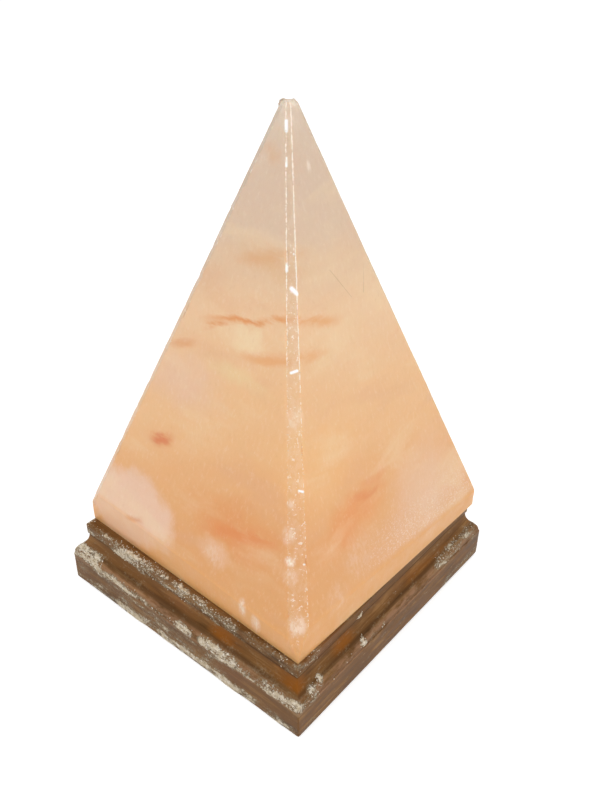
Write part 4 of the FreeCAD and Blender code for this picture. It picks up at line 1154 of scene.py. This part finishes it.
@dataclass
class ScatteredGrains:
    """Grains of salt that lie on a piece, scattered by a node tree over its skin."""

    name: str = "salt_crumbs"
    size: float = 0.36
    density: float = 1.5e6
    seed: int = 7

    def tree(self, finish: Material) -> bpy.types.NodeTree:
        """Build the node tree that scatters, turns and sizes the grains."""
        tree = bpy.data.node_groups.new("scattered_grains", "GeometryNodeTree")
        face = tree.interface
        face.new_socket("Geometry", in_out="INPUT", socket_type="NodeSocketGeometry")
        for name, kind in (("Grain size", "NodeSocketFloat"), ("Density", "NodeSocketFloat"),
                           ("Seed", "NodeSocketInt")):
            face.new_socket(name, in_out="INPUT", socket_type=kind)
        face.new_socket("Geometry", in_out="OUTPUT", socket_type="NodeSocketGeometry")
        nodes, link = tree.nodes, tree.links.new
        start, end = nodes.new("NodeGroupInput"), nodes.new("NodeGroupOutput")
        share = nodes.new("GeometryNodeInputNamedAttribute")
        share.inputs["Name"].default_value = "grain"
        thick = nodes.new("ShaderNodeMath")
        thick.operation = "MULTIPLY"
        link(share.outputs[0], thick.inputs[0])
        link(start.outputs["Density"], thick.inputs[1])
        points = nodes.new("GeometryNodeDistributePointsOnFaces")
        link(start.outputs["Geometry"], points.inputs["Mesh"])
        link(thick.outputs[0], points.inputs["Density"])
        link(start.outputs["Seed"], points.inputs["Seed"])
        grain = nodes.new("GeometryNodeMeshIcoSphere")
        grain.inputs["Subdivisions"].default_value = 1
        link(start.outputs["Grain size"], grain.inputs["Radius"])
        turn = nodes.new("FunctionNodeRandomValue")
        turn.data_type = "FLOAT_VECTOR"
        turn.inputs[1].default_value = (math.tau, math.tau, math.tau)
        sizes = nodes.new("FunctionNodeRandomValue")
        sizes.data_type = "FLOAT_VECTOR"
        sizes.inputs[0].default_value = (0.35, 0.35, 0.2)
        sizes.inputs[1].default_value = (1.5, 1.2, 0.8)
        sizes.inputs["Seed"].default_value = 3
        put = nodes.new("GeometryNodeInstanceOnPoints")
        link(points.outputs["Points"], put.inputs["Points"])
        link(grain.outputs["Mesh"], put.inputs["Instance"])
        link(turn.outputs[0], put.inputs["Rotation"])
        link(sizes.outputs[0], put.inputs["Scale"])
        real = nodes.new("GeometryNodeRealizeInstances")
        link(put.outputs["Instances"], real.inputs["Geometry"])
        dress = nodes.new("GeometryNodeSetMaterial")
        dress.inputs["Material"].default_value = finish
        link(real.outputs["Geometry"], dress.inputs["Geometry"])
        link(dress.outputs["Geometry"], end.inputs["Geometry"])
        return tree

    def build(self, carrier: Item, share: Array, finish: Material) -> Item:
        """Scatter grains over a piece and put them on the lamp.

        Args:
            carrier: the piece that the grains lie on.
            share: how many grains lie at each of its points, from 0 to 1.
            finish: the grains' finish.

        Returns:
            The grains, as one piece.
        """
        host = new_object(self.name, carrier.data.copy())
        keep_amount(host.data, "grain", share)
        scatter = host.modifiers.new("scatter", "NODES")
        scatter.node_group = self.tree(finish)
        values = {"Grain size": self.size * MM, "Density": self.density, "Seed": self.seed}
        for item in scatter.node_group.interface.items_tree:
            if item.in_out == "INPUT" and item.name in values:
                scatter[item.identifier] = values[item.name]
        applied(host)
        low, high = (np.array(corner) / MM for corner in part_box("wooden_base"))
        points, _ = vertices_of(host.data)
        points[:, :2] = np.clip(points[:, :2], low[:2] + 0.02, high[:2] - 0.02)
        points[:, 2] = np.minimum(points[:, 2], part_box("salt_pyramid")[1][2] / MM)
        move_vertices(host.data, points)
        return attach(host, Body.LAMP.value)


def crumb_share(base: Item, dust: SaltDust) -> Array:
    """Tell where crumbs lie on the base: on the dusty moulding, not below or under it."""
    points, normals = vertices_of(base.data)
    out = np.abs(points[:, :2]).max(1)
    above, inside, upward = points[:, 2] > 2.5, out < 72.2, normals[:, 2] > -0.2
    shown = smooth_step(out, 62, 66) * above * inside * upward
    return shown * smooth_step(dust.amount(points, normals), 0.25, 0.95) ** 1.5


def chip_share(block_piece: Item) -> Array:
    """Tell where chips show on the salt block: along its arrises."""
    values = np.zeros(len(block_piece.data.vertices), np.float32)
    block_piece.data.attributes["arris"].data.foreach_get("value", values)
    return values


# ---------------------------------------------------------------- studio


@dataclass(frozen=True)
class Studio:
    """The camera at the photograph's angle, soft lamps and a plain pale floor."""

    focal_pixels: float = 959.82
    image_height: int = 800
    sensor: float = 36.0
    distance: float = 429.44
    azimuth: float = 39.16
    elevation: float = 36.36
    roll: float = 0.91
    aside: float = 8.75
    target_level: float = 105.06
    floor_reach: float = 8.0
    floor_lift: float = 0.5

    def camera(self) -> None:
        """Create the camera and make it the scene's own."""
        a, e, r = (math.radians(value) for value in (self.azimuth, self.elevation, self.roll))
        back = Vector((math.sin(a) * math.cos(e), -math.cos(a) * math.cos(e), math.sin(e)))
        right = (-back).cross(Vector((0, 0, 1))).normalized()
        up = right.cross(-back)
        level, upright = right * math.cos(r) + up * math.sin(r), up * math.cos(r) - right * math.sin(r)
        place = Vector((0, 0, self.target_level)) + right * self.aside + back * self.distance
        data = bpy.data.cameras.new("camera")
        data.sensor_fit = "VERTICAL"
        data.sensor_height = self.sensor
        data.lens = self.focal_pixels / self.image_height * self.sensor
        data.clip_start, data.clip_end = 0.01, 50
        item = new_object("camera", data)
        item.matrix_world = Matrix.Translation(place * MM) @ Matrix(
            (level, upright, back)).transposed().to_4x4()
        bpy.context.scene.camera = item

    @staticmethod
    def lamp(name: str, place: Place, size: float, power: float) -> None:
        """Hang a square soft white lamp that faces the object, with its place in metres."""
        data = bpy.data.lights.new(name, "AREA")
        data.size, data.energy = size, power
        item = new_object(name, data)
        item.location = place
        item.rotation_euler = (Vector(place) - Vector((0, 0, 0.1))).to_track_quat("Z", "Y").to_euler()

    @staticmethod
    def seen_by(tree: bpy.types.NodeTree, ray: str) -> Socket:
        """Give 1 to camera rays and to one other kind of ray, and 0 to the rest."""
        rays, seen = tree.nodes.new("ShaderNodeLightPath"), tree.nodes.new("ShaderNodeMath")
        seen.operation = "MAXIMUM"
        tree.links.new(rays.outputs["Is Camera Ray"], seen.inputs[0])
        tree.links.new(rays.outputs[ray], seen.inputs[1])
        return seen.outputs[0]

    def world(self) -> None:
        """Light the room evenly and show it white behind the floor."""
        world = bpy.data.worlds.new("room")
        bpy.context.scene.world = world
        world.use_nodes = True
        nodes, link = world.node_tree.nodes, world.node_tree.links.new
        light = nodes["Background"]
        light.inputs["Color"].default_value = (1, 1, 1, 1)
        strength = nodes.new("ShaderNodeMapRange")
        link(self.seen_by(world.node_tree, "Is Transmission Ray"), strength.inputs["Value"])
        strength.inputs["To Min"].default_value = 0.5
        strength.inputs["To Max"].default_value = 1.0
        link(strength.outputs["Result"], light.inputs["Strength"])

    def floor(self) -> None:
        """Lay a wide white floor that keeps the object's shadow."""
        mesh, reach = bpy.data.meshes.new("floor"), self.floor_reach
        mesh.from_pydata([(x * reach, y * reach, 0) for x, y in ((-1, -1), (1, -1), (1, 1), (-1, 1))], [],
                         [(0, 1, 2, 3)])
        item = new_object("floor", mesh)
        material = bpy.data.materials.new("white_floor")
        material.use_nodes = True
        nodes, link = material.node_tree.nodes, material.node_tree.links.new
        shader = nodes["Principled BSDF"]
        shader.inputs["Base Color"].default_value = (0.86, 0.86, 0.86, 1)
        shader.inputs["Roughness"].default_value = 0.9
        shader.inputs["Specular IOR Level"].default_value = 0.0
        shader.inputs["Emission Color"].default_value = (1, 1, 1, 1)
        lift = nodes.new("ShaderNodeMath")
        lift.operation = "MULTIPLY"
        lift.inputs[1].default_value = self.floor_lift
        link(self.seen_by(material.node_tree, "Is Glossy Ray"), lift.inputs[0])
        link(lift.outputs[0], shader.inputs["Emission Strength"])
        item.data.materials.append(material)

    def build(self) -> None:
        """Set up the whole studio."""
        self.camera()
        self.world()
        self.floor()
        self.lamp("key", (-0.35, -0.75, 1.05), 0.7, 5.2)
        self.lamp("fill", (0.95, -0.25, 0.75), 0.8, 5.2)
        self.lamp("back", (0.1, 0.9, 0.9), 0.8, 2.5)
        bpy.context.scene.view_settings.view_transform = "Standard"


# ---------------------------------------------------------------- the lamp


def dress_frame(frame: dict) -> None:
    """Give every solid of the frame that stays the finish of its material slot."""
    slots = {part["node"]: part["material_slot"] for part in frame["record"]["subparts"]}
    finished: dict[str, Material] = {}
    for node, item in frame["nodes"].items():
        name = slots.get(node, "")
        if name in FRAME_FINISHES:
            if name not in finished:
                finished[name] = FRAME_FINISHES[name].make()
            dress(item, finished[name])
            LOG.info("%s: %s", node, finished[name].name)


def main() -> None:
    """Build the lamp around the frame."""
    logging.basicConfig(level=logging.INFO, format="%(name)s: %(message)s")
    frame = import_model()
    Studio().build()
    dress_frame(frame)
    salt, wood, grit = SaltFinish().make(), WoodFinish().make(), GritFinish().make()
    for node, material in (("salt_pyramid", salt), ("wooden_base", wood)):
        dress(frame["nodes"][node], material)
    dust = SaltDust()
    block_piece = SaltBlock().build(salt)
    base_piece = MouldedBase().build(wood, dust)
    crumbs = ScatteredGrains().build(base_piece, crumb_share(base_piece, dust), grit)
    chips = ScatteredGrains("arris_chips", 0.22, 7e5, 19).build(block_piece, chip_share(block_piece), grit)
    for piece in (block_piece, base_piece, crumbs, chips):
        LOG.info("%s: %d faces", piece.name, len(piece.data.polygons))


if __name__ == "__main__":
    main()
